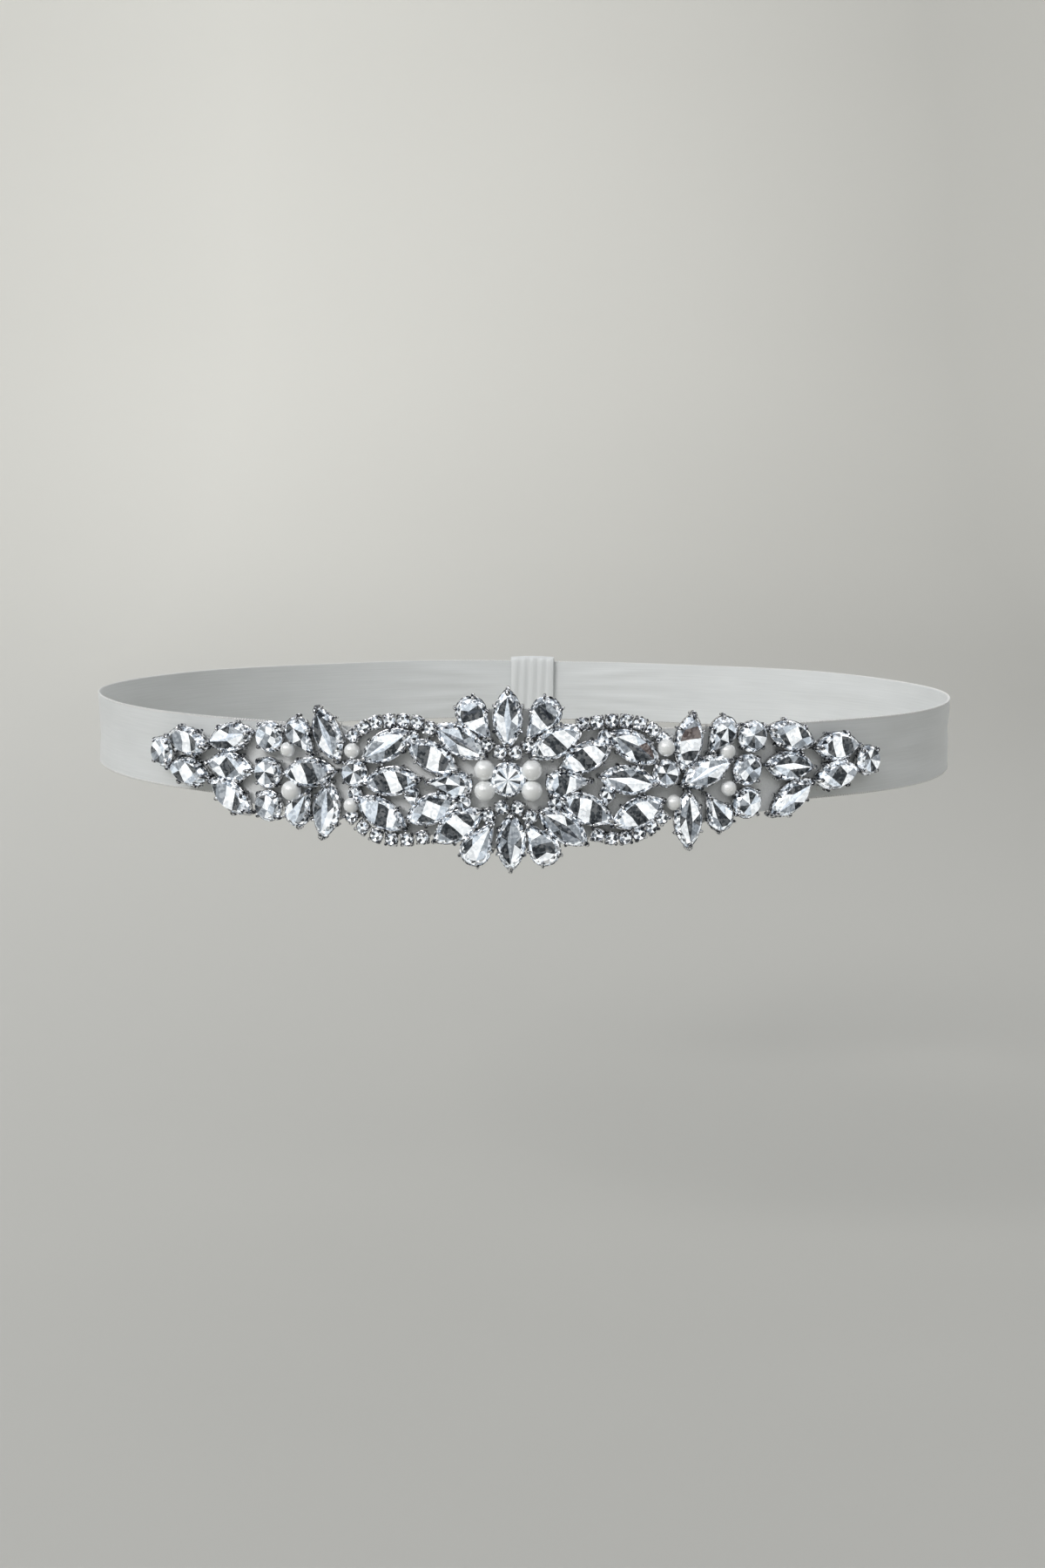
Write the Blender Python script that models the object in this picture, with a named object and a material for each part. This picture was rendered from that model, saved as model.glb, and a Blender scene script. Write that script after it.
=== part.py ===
"""A bridal sash: a satin ribbon tied round the waist, with a trim of stones and pearls at the front.

Metres, +Z up. The wearer faces -Y, +X is the wearer's left, and the origin is the middle of the waist ring.
"""

import math
from collections import namedtuple

import bmesh
import bpy
import numpy as np
from mathutils import Vector

MM = 0.001

# Waist and ribbon
WAIST_HALF_WIDTH = 127 * MM
WAIST_HALF_DEPTH = 98 * MM
RIBBON_WIDTH = 20 * MM
RIBBON_WALL = 1 * MM
EDGE_ROUNDING = 0.3 * MM
RIBBON_SECTIONS = 96
SEAM_GAP = 0.3 * MM

# Knot and tails at the centre back
KNOT_LENGTH = 15 * MM
KNOT_CROWN = 3.4 * MM
KNOT_WALL = 1 * MM
KNOT_FOLD = 0.6 * MM
KNOT_END_FULLNESS = 0.45
KNOT_ROWS = 7
TAIL_LENGTH = 42 * MM
TAIL_CUT_SLANT = 8 * MM
TAIL_SPLAY = math.radians(9)

# Backing of the trim
BACKING_WALL = 1 * MM
BACKING_SECTIONS = 72

# Stones, each in a metal cup with claws
STONE_SEAT = SEAM_GAP + BACKING_WALL + SEAM_GAP
STONE_HEIGHT = 4.2 * MM
STONE_GIRDLE = 2.0 * MM

# Cup chain: small round cups in a row
CHAIN_CUP = 3.9 * MM
CHAIN_WAIST = 2.9 * MM
CHAIN_HEIGHT = 2.8 * MM
CHAIN_WAIST_HEIGHT = 2.0 * MM
CHAIN_SIDES = 6

RING_STEPS = 7200

Size = namedtuple("Size", "outline length width")
SIZES = {
    "navette": Size("lens", 14.4 * MM, 6.8 * MM),
    "slim_pear": Size("drop", 11.8 * MM, 6.2 * MM),
    "pear": Size("drop", 13.0 * MM, 8.0 * MM),
    "small_pear": Size("drop", 11.0 * MM, 7.0 * MM),
    "round": Size("disc", 8.0 * MM, 8.0 * MM),
    "heart": Size("disc", 7.0 * MM, 7.0 * MM),
    "centre": Size("disc", 9.2 * MM, 9.2 * MM),
}

# One row for each stone that has a partner on the other side, in millimetres and degrees. "along" runs from
# the centre front round the ribbon, "up" from the middle of its width, and "turn" lifts the outer end.
Pair = namedtuple("Pair", "name size left_along left_up left_turn right_along right_up right_turn")
PAIRS = (
    Pair("tip_round", "round", 98.5, 0, 0, 98, -0.5, 0),
    Pair("spray_upper", "navette", 88.8, 3.6, 8, 87.2, 4, 0),
    Pair("spray_lower", "navette", 88.5, -4.6, 5, 87.3, -3.6, 7),
    Pair("leaf_upper", "navette", 74.2, 5.7, -14, 72.8, 7.6, -18),
    Pair("leaf_middle", "navette", 74.5, -2, 5, 72.5, -0.2, -5),
    Pair("leaf_lower", "navette", 74.5, -9.8, 32, 73.3, -8.6, 35),
    Pair("row_upper", "round", 62.5, 6.6, 0, 61.8, 7.9, 0),
    Pair("row_middle", "round", 63, -2.8, 0, 60.5, -0.6, 0),
    Pair("row_lower", "round", 63, -11.4, 0, 60.6, -9.2, 0),
    Pair("flower_pear_upper", "small_pear", 53.2, 7, 54, 52.9, 8.2, 56),
    Pair("flower_pear_lower", "small_pear", 53.6, -11, -58, 52.4, -11, -57),
    Pair("flower_top", "navette", 46, 8, 67, 44.6, 7, 81),
    Pair("flower_side", "navette", 51, -2, -5, 49.4, -0.7, 26),
    Pair("flower_bottom", "navette", 46.5, -11.4, -81, 44.8, -12.8, -88),
    Pair("flower_heart", "heart", 39, -1.5, 0, 39, -0.8, 0),
    Pair("fan_outer_upper", "navette", 30.6, 5.7, -30, 30.8, 6, -31),
    Pair("fan_outer_middle", "navette", 29.2, -3.2, -6, 29.3, -2.3, -8),
    Pair("fan_outer_lower", "navette", 32, -11.6, 28, 32, -10.7, 24),
    Pair("fan_inner_upper", "navette", 12, 7.4, 31, 11.6, 7.4, 30),
    Pair("fan_inner_high", "navette", 18.9, 3.2, 29, 18.9, 3.6, 26),
    Pair("fan_inner_middle", "slim_pear", 14.8, -3.45, 184, 14.8, -2.9, 186),
    Pair("fan_inner_low", "navette", 19, -10, -24, 19.2, -9.6, -25),
    Pair("fan_inner_lower", "navette", 12.6, -14.1, -34, 13.4, -14.1, -36),
)

# Petals over and under the centre stone. Each trio stands on a short arc of chain, which joins it.
Petal = namedtuple("Petal", "size along up turn")
PETALS = {
    "petals_top": (
        Petal("pear", -8, 12.8, 125), Petal("navette", -0.4, 13.3, 90), Petal("pear", 7.6, 12.9, 55),
    ),
    "petals_bottom": (
        Petal("pear", -7, -18.2, 238), Petal("navette", 0.6, -18, 269), Petal("pear", 7.6, -18, 303),
    ),
}

# Points that the arcs of cup chain run through, in millimetres along and up from the centre front.
ChainPoint = namedtuple("ChainPoint", "along up")
CHAINS = {
    "petals_top": (ChainPoint(-5.6, 7.4), ChainPoint(-0.4, 4.9), ChainPoint(4.8, 7.2)),
    "petals_bottom": (ChainPoint(-5, -12.5), ChainPoint(0.3, -9.9), ChainPoint(5, -12.5)),
    "chain_left_upper": (
        ChainPoint(-39.4, 7.8), ChainPoint(-36.6, 10.2), ChainPoint(-32.4, 11.9), ChainPoint(-27, 12.2),
        ChainPoint(-22, 11.7), ChainPoint(-19.6, 10.4),
    ),
    "chain_left_lower": (
        ChainPoint(-40, -12.8), ChainPoint(-37.4, -15.4), ChainPoint(-33.4, -17.6), ChainPoint(-28.6, -18.4),
        ChainPoint(-24, -18), ChainPoint(-21.6, -17.5),
    ),
    "chain_right_upper": (
        ChainPoint(18, 11.8), ChainPoint(22.4, 12.4), ChainPoint(27, 12.8), ChainPoint(31.4, 12.3),
        ChainPoint(35.4, 10.4), ChainPoint(38.2, 7.8),
    ),
    "chain_right_lower": (
        ChainPoint(22, -16.4), ChainPoint(25.6, -17.2), ChainPoint(30, -17.2), ChainPoint(34.8, -15.4),
        ChainPoint(38.2, -12.2),
    ),
}

# The centre stone and the pearls that touch it.
CentreBead = namedtuple("CentreBead", "name along up diameter")
CENTRE_BEADS = (
    CentreBead("pearl_left_upper", -5.7, 0.7, 5.2),
    CentreBead("pearl_left_lower", -5.7, -4.9, 5.2),
    CentreBead("pearl_right_upper", 5.1, 0.7, 5.2),
    CentreBead("pearl_right_lower", 5.1, -4.9, 5.2),
)
CENTRE_ALONG = -0.3
CENTRE_UP = -2.1

# Half of the backing's outline, in millimetres: the trim lies on it, a little proud all round.
Outline = namedtuple("Outline", "along top bottom")
BACKING = (
    Outline(0, 16.5, -20.5), Outline(6, 15, -20), Outline(11, 11, -18.5), Outline(18, 11, -17),
    Outline(28, 12.5, -17.5), Outline(35, 11, -15), Outline(40, 7.5, -12), Outline(46, 11.5, -15.5),
    Outline(52, 9.5, -13.5), Outline(58, 8, -11.5), Outline(63, 9, -12.5), Outline(68, 7.5, -12),
    Outline(75, 7.5, -10.5), Outline(82, 4.5, -6.5), Outline(89, 5, -6.5), Outline(96, 3, -3.5),
    Outline(100, 2, -2),
)

# Sections down each tail: how far down, how wide, how far out from the ribbon and how deeply cupped.
TailSection = namedtuple("TailSection", "drop width out cup")
TAIL = (
    TailSection(0, 10, 1.6, 1.2), TailSection(6, 13, 2.6, 1.6), TailSection(13, 17, 3.6, 1.2),
    TailSection(22, 19.5, 3.4, 0.6), TailSection(34, 20, 2.6, 0.4), TailSection(46, 20, 2.2, 0.8),
)
TAIL_ROWS = 14
TAIL_COLUMNS = 7

# Colour, roughness and metallic value of each finish
Finish = namedtuple("Finish", "colour roughness metallic")
FINISHES = {
    "satin": Finish((0.80, 0.81, 0.80), 0.42, 0.0),
    "felt": Finish((0.72, 0.71, 0.68), 0.9, 0.0),
    "crystal": Finish((0.70, 0.72, 0.75), 0.08, 0.9),
    "pearl": Finish((0.86, 0.85, 0.81), 0.22, 0.1),
    "chain": Finish((0.62, 0.63, 0.66), 0.2, 1.0),
}


def remove_everything():
    for item in list(bpy.data.objects):
        bpy.data.objects.remove(item, do_unlink=True)


def make_materials():
    materials = {}
    for name, finish in FINISHES.items():
        material = bpy.data.materials.new(name)
        material.use_nodes = True
        shader = material.node_tree.nodes["Principled BSDF"]
        shader.inputs["Base Color"].default_value = (*finish.colour, 1)
        shader.inputs["Roughness"].default_value = finish.roughness
        shader.inputs["Metallic"].default_value = finish.metallic
        materials[name] = material
    return materials


class Ring:
    """The ribbon's outer face: an ellipse, measured along its length from the centre front."""

    def __init__(self, half_width, half_depth):
        self.half_width = half_width
        self.half_depth = half_depth
        self.angles = np.linspace(-math.pi, math.pi, RING_STEPS + 1)
        speed = np.hypot(half_width * np.cos(self.angles), half_depth * np.sin(self.angles))
        steps = (speed[1:] + speed[:-1]) / 2 * np.diff(self.angles)
        lengths = np.concatenate(([0], np.cumsum(steps)))
        self.lengths = lengths - lengths[-1] / 2
        self.half_length = self.lengths[-1]

    def frame(self, along):
        """The point at mid-height, the way along and the way out of the ring."""
        wrapped = (along + self.half_length) % (2 * self.half_length) - self.half_length
        angle = float(np.interp(wrapped, self.lengths, self.angles))
        point = Vector((self.half_width * math.sin(angle), -self.half_depth * math.cos(angle), 0))
        side = Vector((self.half_width * math.cos(angle), self.half_depth * math.sin(angle), 0)).normalized()
        out = Vector((side.y, -side.x, 0))
        return point, side, out

    def place(self, along, up, out):
        point, _, outward = self.frame(along)
        return point + outward * out + Vector((0, 0, up))


RING = Ring(WAIST_HALF_WIDTH, WAIST_HALF_DEPTH)


def new_object(name, mesh_builder, material, smooth_angle=None):
    """Make an object from a bmesh, with its faces turned outwards."""
    bmesh.ops.recalc_face_normals(mesh_builder, faces=mesh_builder.faces)
    mesh = bpy.data.meshes.new(name)
    mesh_builder.to_mesh(mesh)
    mesh_builder.free()
    mesh.materials.append(material)
    if smooth_angle is not None:
        mesh.shade_smooth()
        mesh.set_sharp_from_angle(angle=math.radians(smooth_angle))
    item = bpy.data.objects.new(name, mesh)
    bpy.context.collection.objects.link(item)
    return item


def loft(loops, closed_rows=False):
    """Join rows of points into a closed skin: each loop goes round, and the ends are capped or joined."""
    builder = bmesh.new()
    rows = [[builder.verts.new(point) for point in loop] for loop in loops]
    count = len(rows[0])
    pairs = list(zip(rows, rows[1:]))
    if closed_rows:
        pairs.append((rows[-1], rows[0]))
    for low, high in pairs:
        for i in range(count):
            j = (i + 1) % count
            builder.faces.new((low[i], low[j], high[j], high[i]))
    if not closed_rows:
        builder.faces.new(rows[0])
        builder.faces.new(rows[-1])
    return builder


def ribbon_band(material):
    """The ribbon round the waist: one flat section carried round the ring."""
    half = RIBBON_WIDTH / 2
    section = (
        (-half, -EDGE_ROUNDING), (-half + EDGE_ROUNDING, 0), (half - EDGE_ROUNDING, 0), (half, -EDGE_ROUNDING),
        (half, -RIBBON_WALL), (-half, -RIBBON_WALL),
    )
    loops = []
    for i in range(RIBBON_SECTIONS):
        along = 2 * RING.half_length * i / RIBBON_SECTIONS
        loops.append([RING.place(along, up, out) for up, out in section])
    return new_object("ribbon_band", loft(loops, closed_rows=True), material, 30)


def rounded_box(low_up, high_up, low_out, high_out, crown, count=16):
    """Points round a box in the ribbon's cross-section, whose outer side is crowned."""
    points = []
    for i in range(count):
        angle = 2 * math.pi * i / count
        across, outward = math.cos(angle), math.sin(angle)
        reach = max(abs(across), abs(outward))
        u, v = across / reach, outward / reach
        up = (low_up + high_up) / 2 + u * (high_up - low_up) / 2
        out = (low_out + high_out) / 2 + v * (high_out - low_out) / 2
        if v > 0:
            out += crown * (1 - u * u) * v
        points.append((up, out))
    return points


def ribbon_knot(material):
    """The knot: a sleeve of ribbon round the band at the centre back, full in its middle."""
    half = RIBBON_WIDTH / 2 + SEAM_GAP
    builder = bmesh.new()
    outer_rows, inner_rows = [], []
    for i in range(KNOT_ROWS):
        across = 2 * i / (KNOT_ROWS - 1) - 1
        fullness = 1 - (1 - KNOT_END_FULLNESS) * across * across
        wall = KNOT_WALL + KNOT_FOLD * fullness
        along = RING.half_length + across * KNOT_LENGTH / 2
        inner = rounded_box(-half, half, -RIBBON_WALL - SEAM_GAP, SEAM_GAP, 0)
        outer = rounded_box(
            -half - wall, half + wall,
            -RIBBON_WALL - SEAM_GAP - KNOT_WALL, SEAM_GAP + KNOT_WALL, KNOT_CROWN * fullness,
        )
        inner_rows.append([builder.verts.new(RING.place(along, up, out)) for up, out in inner])
        outer_rows.append([builder.verts.new(RING.place(along, up, out)) for up, out in outer])
    count = len(outer_rows[0])
    for skin in (outer_rows, inner_rows):
        for low, high in zip(skin, skin[1:]):
            for i in range(count):
                j = (i + 1) % count
                builder.faces.new((low[i], low[j], high[j], high[i]))
    for end in (0, -1):
        for i in range(count):
            j = (i + 1) % count
            builder.faces.new((outer_rows[end][i], outer_rows[end][j], inner_rows[end][j], inner_rows[end][i]))
    return new_object("ribbon_knot", builder, material, 40)


def table_value(rows, column, where, key):
    """Read a smooth value between two rows of a table."""
    keys = [getattr(row, key) for row in rows]
    values = [getattr(row, column) for row in rows]
    return float(np.interp(where, keys, values))


def ribbon_tail(name, side, material):
    """One end of the ribbon, hanging from under the knot and cut on the slant."""
    top = -RIBBON_WIDTH / 2 - SEAM_GAP - KNOT_WALL - KNOT_FOLD - SEAM_GAP
    loops = []
    for row in range(TAIL_ROWS):
        share = row / (TAIL_ROWS - 1)
        front, back = [], []
        for column in range(TAIL_COLUMNS):
            across = 2 * column / (TAIL_COLUMNS - 1) - 1
            length = TAIL_LENGTH - side * across * TAIL_CUT_SLANT / 2
            drop = share * length
            width = table_value(TAIL, "width", drop / MM, "drop") * MM
            out = table_value(TAIL, "out", drop / MM, "drop") * MM
            cup = table_value(TAIL, "cup", drop / MM, "drop") * MM
            sideways = side * (width / 2 + SEAM_GAP + drop * math.sin(TAIL_SPLAY)) + across * width / 2
            depth = out + cup * (1 - across * across)
            place = RING.half_length + sideways
            front.append(RING.place(place, top - drop * math.cos(TAIL_SPLAY), depth))
            back.append(RING.place(place, top - drop * math.cos(TAIL_SPLAY), depth - RIBBON_WALL))
        loops.append(front + back[::-1])
    return new_object(name, loft(loops), material, 40)


def backing(material):
    """The felt under the trim: a wall bent round the ribbon, 0.3 mm off it."""
    inner, outer = SEAM_GAP, SEAM_GAP + BACKING_WALL
    reach = BACKING[-1].along * MM
    loops = []
    for i in range(BACKING_SECTIONS + 1):
        along = reach * (2 * i / BACKING_SECTIONS - 1)
        top = table_value(BACKING, "top", abs(along) / MM, "along") * MM
        bottom = table_value(BACKING, "bottom", abs(along) / MM, "along") * MM
        corners = ((bottom, outer), (top, outer), (top, inner), (bottom, inner))
        loops.append([RING.place(along, up, out) for up, out in corners])
    return new_object("trim_backing", loft(loops), material)


def lens_outline(length, width, steps=5):
    """A navette: two arcs that meet in points."""
    radius = (length * length + width * width) / (4 * width)
    reach = math.asin(length / 2 / radius)
    points = []
    for side in (1, -1):
        for i in range(steps):
            angle = reach * (1 - 2 * i / steps)
            points.append((side * radius * math.sin(angle), side * (radius * math.cos(angle) - radius + width / 2)))
    return points


def drop_outline(length, width, steps=8):
    """A pear: a round head at +X that runs in straight sides to a point at -X."""
    radius = width / 2
    centre = length / 2 - radius
    tip = Vector((-length / 2, 0))
    tangent = math.acos(radius / (centre - tip.x))
    points = [tuple(tip)]
    for i in range(steps + 1):
        angle = -math.pi + tangent + (2 * math.pi - 2 * tangent) * i / steps
        points.append((centre + radius * math.cos(angle), radius * math.sin(angle)))
    return points


def disc_outline(diameter, _width, steps=12):
    return [
        (diameter / 2 * math.cos(2 * math.pi * i / steps), diameter / 2 * math.sin(2 * math.pi * i / steps))
        for i in range(steps)
    ]


OUTLINES = {"lens": lens_outline, "drop": drop_outline, "disc": disc_outline}

# A stone in its cup, from the seat to the table: its share of the outline and its height.
Level = namedtuple("Level", "scale height")
STONE_LEVELS = (Level(0.86, 0), Level(1, STONE_GIRDLE), Level(0.58, STONE_HEIGHT))
CENTRE_LEVELS = (Level(0.86, 0), Level(1, STONE_GIRDLE), Level(0.98, 2.7 * MM), Level(0.12, 4.8 * MM))


def stone_mesh(size, along, up, turn, outward=1, levels=STONE_LEVELS):
    """A stone on the seat, flat at its back, at a place on the ring."""
    point, side, out = RING.frame(along)
    long_way = side * outward * math.cos(turn) + Vector((0, 0, math.sin(turn)))
    cross_way = out.cross(long_way)
    origin = point + Vector((0, 0, up)) + out * STONE_SEAT
    outline = OUTLINES[size.outline](size.length, size.width)
    loops = []
    for level in levels:
        loops.append([
            origin + long_way * x * level.scale + cross_way * y * level.scale + out * level.height
            for x, y in outline
        ])
    return loft(loops)


def stones_of_pair(row, material):
    size = SIZES[row.size]
    left = stone_mesh(size, -row.left_along * MM, row.left_up * MM, math.radians(row.left_turn), -1)
    right = stone_mesh(size, row.right_along * MM, row.right_up * MM, math.radians(row.right_turn), 1)
    new_object("stone_left_" + row.name, left, material)
    new_object("stone_right_" + row.name, right, material)


def chain_mesh(points):
    """A row of cups as one bar, wide at each cup and narrow between two."""
    places = np.array([(point.along * MM, point.up * MM) for point in points])
    steps = np.hypot(*np.diff(places, axis=0).T)
    reach = np.concatenate(([0], np.cumsum(steps)))
    cups = max(2, round(reach[-1] / CHAIN_CUP))
    stations = 2 * cups + 1
    loops = []
    for i in range(stations):
        where = reach[-1] * i / (stations - 1)
        before = np.array([np.interp(where - CHAIN_CUP / 2, reach, places[:, k]) for k in (0, 1)])
        after = np.array([np.interp(where + CHAIN_CUP / 2, reach, places[:, k]) for k in (0, 1)])
        middle = np.array([np.interp(where, reach, places[:, k]) for k in (0, 1)])
        way = (after - before) / np.hypot(*(after - before))
        width = CHAIN_CUP if i % 2 else CHAIN_WAIST
        height = CHAIN_HEIGHT if i % 2 else CHAIN_WAIST_HEIGHT
        loop = []
        for k in range(CHAIN_SIDES):
            angle = math.pi * k / (CHAIN_SIDES - 1)
            across = width / 2 * math.cos(angle)
            out = STONE_SEAT + height * math.sin(angle)
            loop.append(RING.place(middle[0] - way[1] * across, middle[1] + way[0] * across, out))
        loops.append(loop)
    return loft(loops)


def join(name, pieces, material):
    """Fuse touching solids into one with Boolean unions."""
    body = pieces[0]
    body.name = name
    body.data.name = name
    for piece in pieces[1:]:
        union = body.modifiers.new("Union", "BOOLEAN")
        union.operation = "UNION"
        union.solver = "EXACT"
        union.object = piece
        piece.hide_render = True
        piece.display_type = "WIRE"
    body.data.materials.clear()
    body.data.materials.append(material)
    return body


def petal_trio(name, materials):
    pieces = [new_object("arc", chain_mesh(CHAINS[name]), materials["chain"])]
    for petal in PETALS[name]:
        stone = stone_mesh(SIZES[petal.size], petal.along * MM, petal.up * MM, math.radians(petal.turn))
        pieces.append(new_object("petal", stone, materials["crystal"]))
    join(name, pieces, materials["crystal"])


def pearl_mesh(bead):
    """A pearl whose flat back sits on the backing."""
    builder = bmesh.new()
    bmesh.ops.create_uvsphere(builder, u_segments=12, v_segments=8, radius=bead.diameter * MM / 2)
    centre = RING.place(bead.along * MM, bead.up * MM, STONE_SEAT + bead.diameter * MM / 2)
    bmesh.ops.translate(builder, verts=builder.verts, vec=centre)
    return builder


def centre_cluster(materials):
    """The round centre stone and the four pearls that touch it."""
    stone = stone_mesh(SIZES["centre"], CENTRE_ALONG * MM, CENTRE_UP * MM, 0, levels=CENTRE_LEVELS)
    pieces = [new_object("centre", stone, materials["crystal"])]
    for bead in CENTRE_BEADS:
        pieces.append(new_object(bead.name, pearl_mesh(bead), materials["pearl"], 60))
    join("centre_cluster", pieces, materials["pearl"])


def build():
    remove_everything()
    materials = make_materials()
    ribbon_band(materials["satin"])
    ribbon_knot(materials["satin"])
    ribbon_tail("ribbon_tail_left", 1, materials["satin"])
    ribbon_tail("ribbon_tail_right", -1, materials["satin"])
    backing(materials["felt"])
    for row in PAIRS:
        stones_of_pair(row, materials["crystal"])
    for name in PETALS:
        petal_trio(name, materials)
    centre_cluster(materials)
    for name, points in CHAINS.items():
        if name not in PETALS:
            new_object(name, chain_mesh(points), materials["chain"], 50)


build()
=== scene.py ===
# %% [markdown]
# # A bridal sash in satin, stones and pearls
# The real sash is a satin ribbon tied round the waist. A trim of foiled stones in silver cups, pearls and cup
# chain is sewn on a strip of felt, and the felt is sewn to the front of the ribbon.
# The sizes are settled already in a plain model, so this lesson only dresses it. Each piece is made in place,
# in metres, with +Z up and the wearer facing -Y.

# %% Load the frame
import math
import random
from collections import namedtuple

import bmesh
import bpy
import numpy as np
from mathutils import Matrix, Vector


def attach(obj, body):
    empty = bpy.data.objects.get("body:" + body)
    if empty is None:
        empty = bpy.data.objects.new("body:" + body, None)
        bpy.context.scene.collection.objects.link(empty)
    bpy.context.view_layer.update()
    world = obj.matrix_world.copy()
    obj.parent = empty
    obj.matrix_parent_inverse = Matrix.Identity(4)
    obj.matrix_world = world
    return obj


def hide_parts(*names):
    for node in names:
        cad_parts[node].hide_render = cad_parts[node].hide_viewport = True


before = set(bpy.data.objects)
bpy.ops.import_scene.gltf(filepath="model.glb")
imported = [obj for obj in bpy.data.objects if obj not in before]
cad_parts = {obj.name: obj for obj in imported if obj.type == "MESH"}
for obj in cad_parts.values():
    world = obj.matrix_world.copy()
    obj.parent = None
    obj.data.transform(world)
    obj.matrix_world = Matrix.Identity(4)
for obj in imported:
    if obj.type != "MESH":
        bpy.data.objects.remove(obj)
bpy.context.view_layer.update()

MM = 0.001
NODES = sorted(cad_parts)


def add_object(name, data):
    """A new object in the scene, from a mesh, a light or a camera."""
    thing = bpy.data.objects.new(name, data)
    bpy.context.collection.objects.link(thing)
    return thing


# %% [markdown]
# ## Measuring along the ribbon
# A maker measures a sash along the ribbon, not in X and Y. The worn ribbon is an ellipse, so its length is
# added up in small steps once, and a place on it is then looked up by "along", from the centre front towards
# the wearer's left, "up" from the middle of the ribbon, and "out" from its outer face.

# %% The waist ring
HALF_WIDTH = 127 * MM
HALF_DEPTH = 98 * MM
RIBBON_HALF = 10 * MM
RING_STEPS = 7200

ring_angles = np.linspace(-math.pi, math.pi, RING_STEPS + 1)
ring_speed = np.hypot(HALF_WIDTH * np.cos(ring_angles), HALF_DEPTH * np.sin(ring_angles))
ring_lengths = np.concatenate(([0], np.cumsum((ring_speed[1:] + ring_speed[:-1]) / 2 * np.diff(ring_angles))))
ring_lengths -= ring_lengths[-1] / 2
RING_HALF = ring_lengths[-1]


def ring_frame(along):
    """The point at mid-height, the way along the ribbon and the way out of it, at one length or many."""
    along = np.asarray(along, float)
    wrapped = (along + RING_HALF) % (2 * RING_HALF) - RING_HALF
    angle = np.interp(wrapped, ring_lengths, ring_angles)
    sine, cosine, zero = np.sin(angle), np.cos(angle), np.zeros_like(angle)
    point = np.stack((HALF_WIDTH * sine, -HALF_DEPTH * cosine, zero), -1)
    way = np.stack((HALF_WIDTH * cosine, HALF_DEPTH * sine, zero), -1)
    way /= np.linalg.norm(way, axis=-1, keepdims=True)
    out = np.stack((way[..., 1], -way[..., 0], zero), -1)
    return point, way, out


def ring_place(along, up, out):
    """Points given by their length along the ribbon, their height and their distance out."""
    along, up, out = np.broadcast_arrays(np.asarray(along, float), up, out)
    point, _, outward = ring_frame(along)
    point = point + outward * out[..., None]
    point[..., 2] += up
    return point


print("The ribbon is", round(2 * RING_HALF / MM), "mm round its outer face")

# %% [markdown]
# ## Camera
# The photograph looks from a little above the waist and slightly from the wearer's left. The camera stands
# there, with no depth of field. Turning about Z first, then dipping, then rolling keeps the three angles
# apart.

# %% The camera
CAMERA_DISTANCE = 0.580
CAMERA_HEIGHT = 0.070
CAMERA_TURN = math.radians(1.9)
CAMERA_DIP = math.radians(8.7)
CAMERA_ROLL = math.radians(0.3)
LENS_LENGTH_MM = 44.3
SENSOR_WIDTH_MM = 36

lens = bpy.data.cameras.new("view")
lens.lens = LENS_LENGTH_MM
lens.sensor_width = SENSOR_WIDTH_MM
lens.sensor_fit = "AUTO"
lens.clip_start = 10 * MM
camera = add_object("view", lens)
camera.matrix_world = (
    Matrix.Translation((
        CAMERA_DISTANCE * math.sin(CAMERA_TURN), -CAMERA_DISTANCE * math.cos(CAMERA_TURN), CAMERA_HEIGHT,
    ))
    @ Matrix.Rotation(CAMERA_TURN, 4, "Z")
    @ Matrix.Rotation(math.pi / 2 - CAMERA_DIP, 4, "X")
    @ Matrix.Rotation(CAMERA_ROLL, 4, "Z")
)
bpy.context.scene.camera = camera
print("The camera stands", round(camera.location.length, 3), "m from the middle of the waist")

# %% [markdown]
# ## Studio
# Cut stones only sparkle when they have both bright and dark things to mirror. One soft light from the upper
# left gives the white flashes, a very wide one fills in from the front, a weak one lights the back, and the
# room itself is patchy: bright here and dim there. The lights are far away, so the floor is as bright at its
# rim as under the sash. The floor is a wide shallow bowl, so no horizon line crosses the picture from any
# side.

# %% Lights and floor
FLOOR_HEIGHT = -0.16
BowlRing = namedtuple("BowlRing", "radius rise")
BOWL = [BowlRing(*row) for row in (
    (0.6, 0.0), (1.4, 0.0), (2.0, 0.02), (2.5, 0.15), (2.9, 0.5), (3.1, 1.0), (3.2, 1.6),
)]
BOWL_SIDES = 64


def far_light(name, place, spread, strength, colour):
    """A soft light that shines from a place towards the sash. spread is how wide it looks, in degrees."""
    light = bpy.data.lights.new(name, "SUN")
    light.angle = math.radians(spread)
    light.energy = strength
    light.color = colour
    lamp = add_object(name, light)
    lamp.location = place
    lamp.rotation_euler = (-Vector(place)).to_track_quat("-Z", "Y").to_euler()


far_light("key", (-1.1, -1.2, 1.0), 26, 1.15, (1.0, 0.985, 0.97))
far_light("front", (-0.35, -1.6, 0.5), 75, 1.1, (1.0, 1.0, 1.0))
far_light("back", (0.7, 1.4, 0.9), 40, 0.35, (0.96, 0.98, 1.0))


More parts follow.
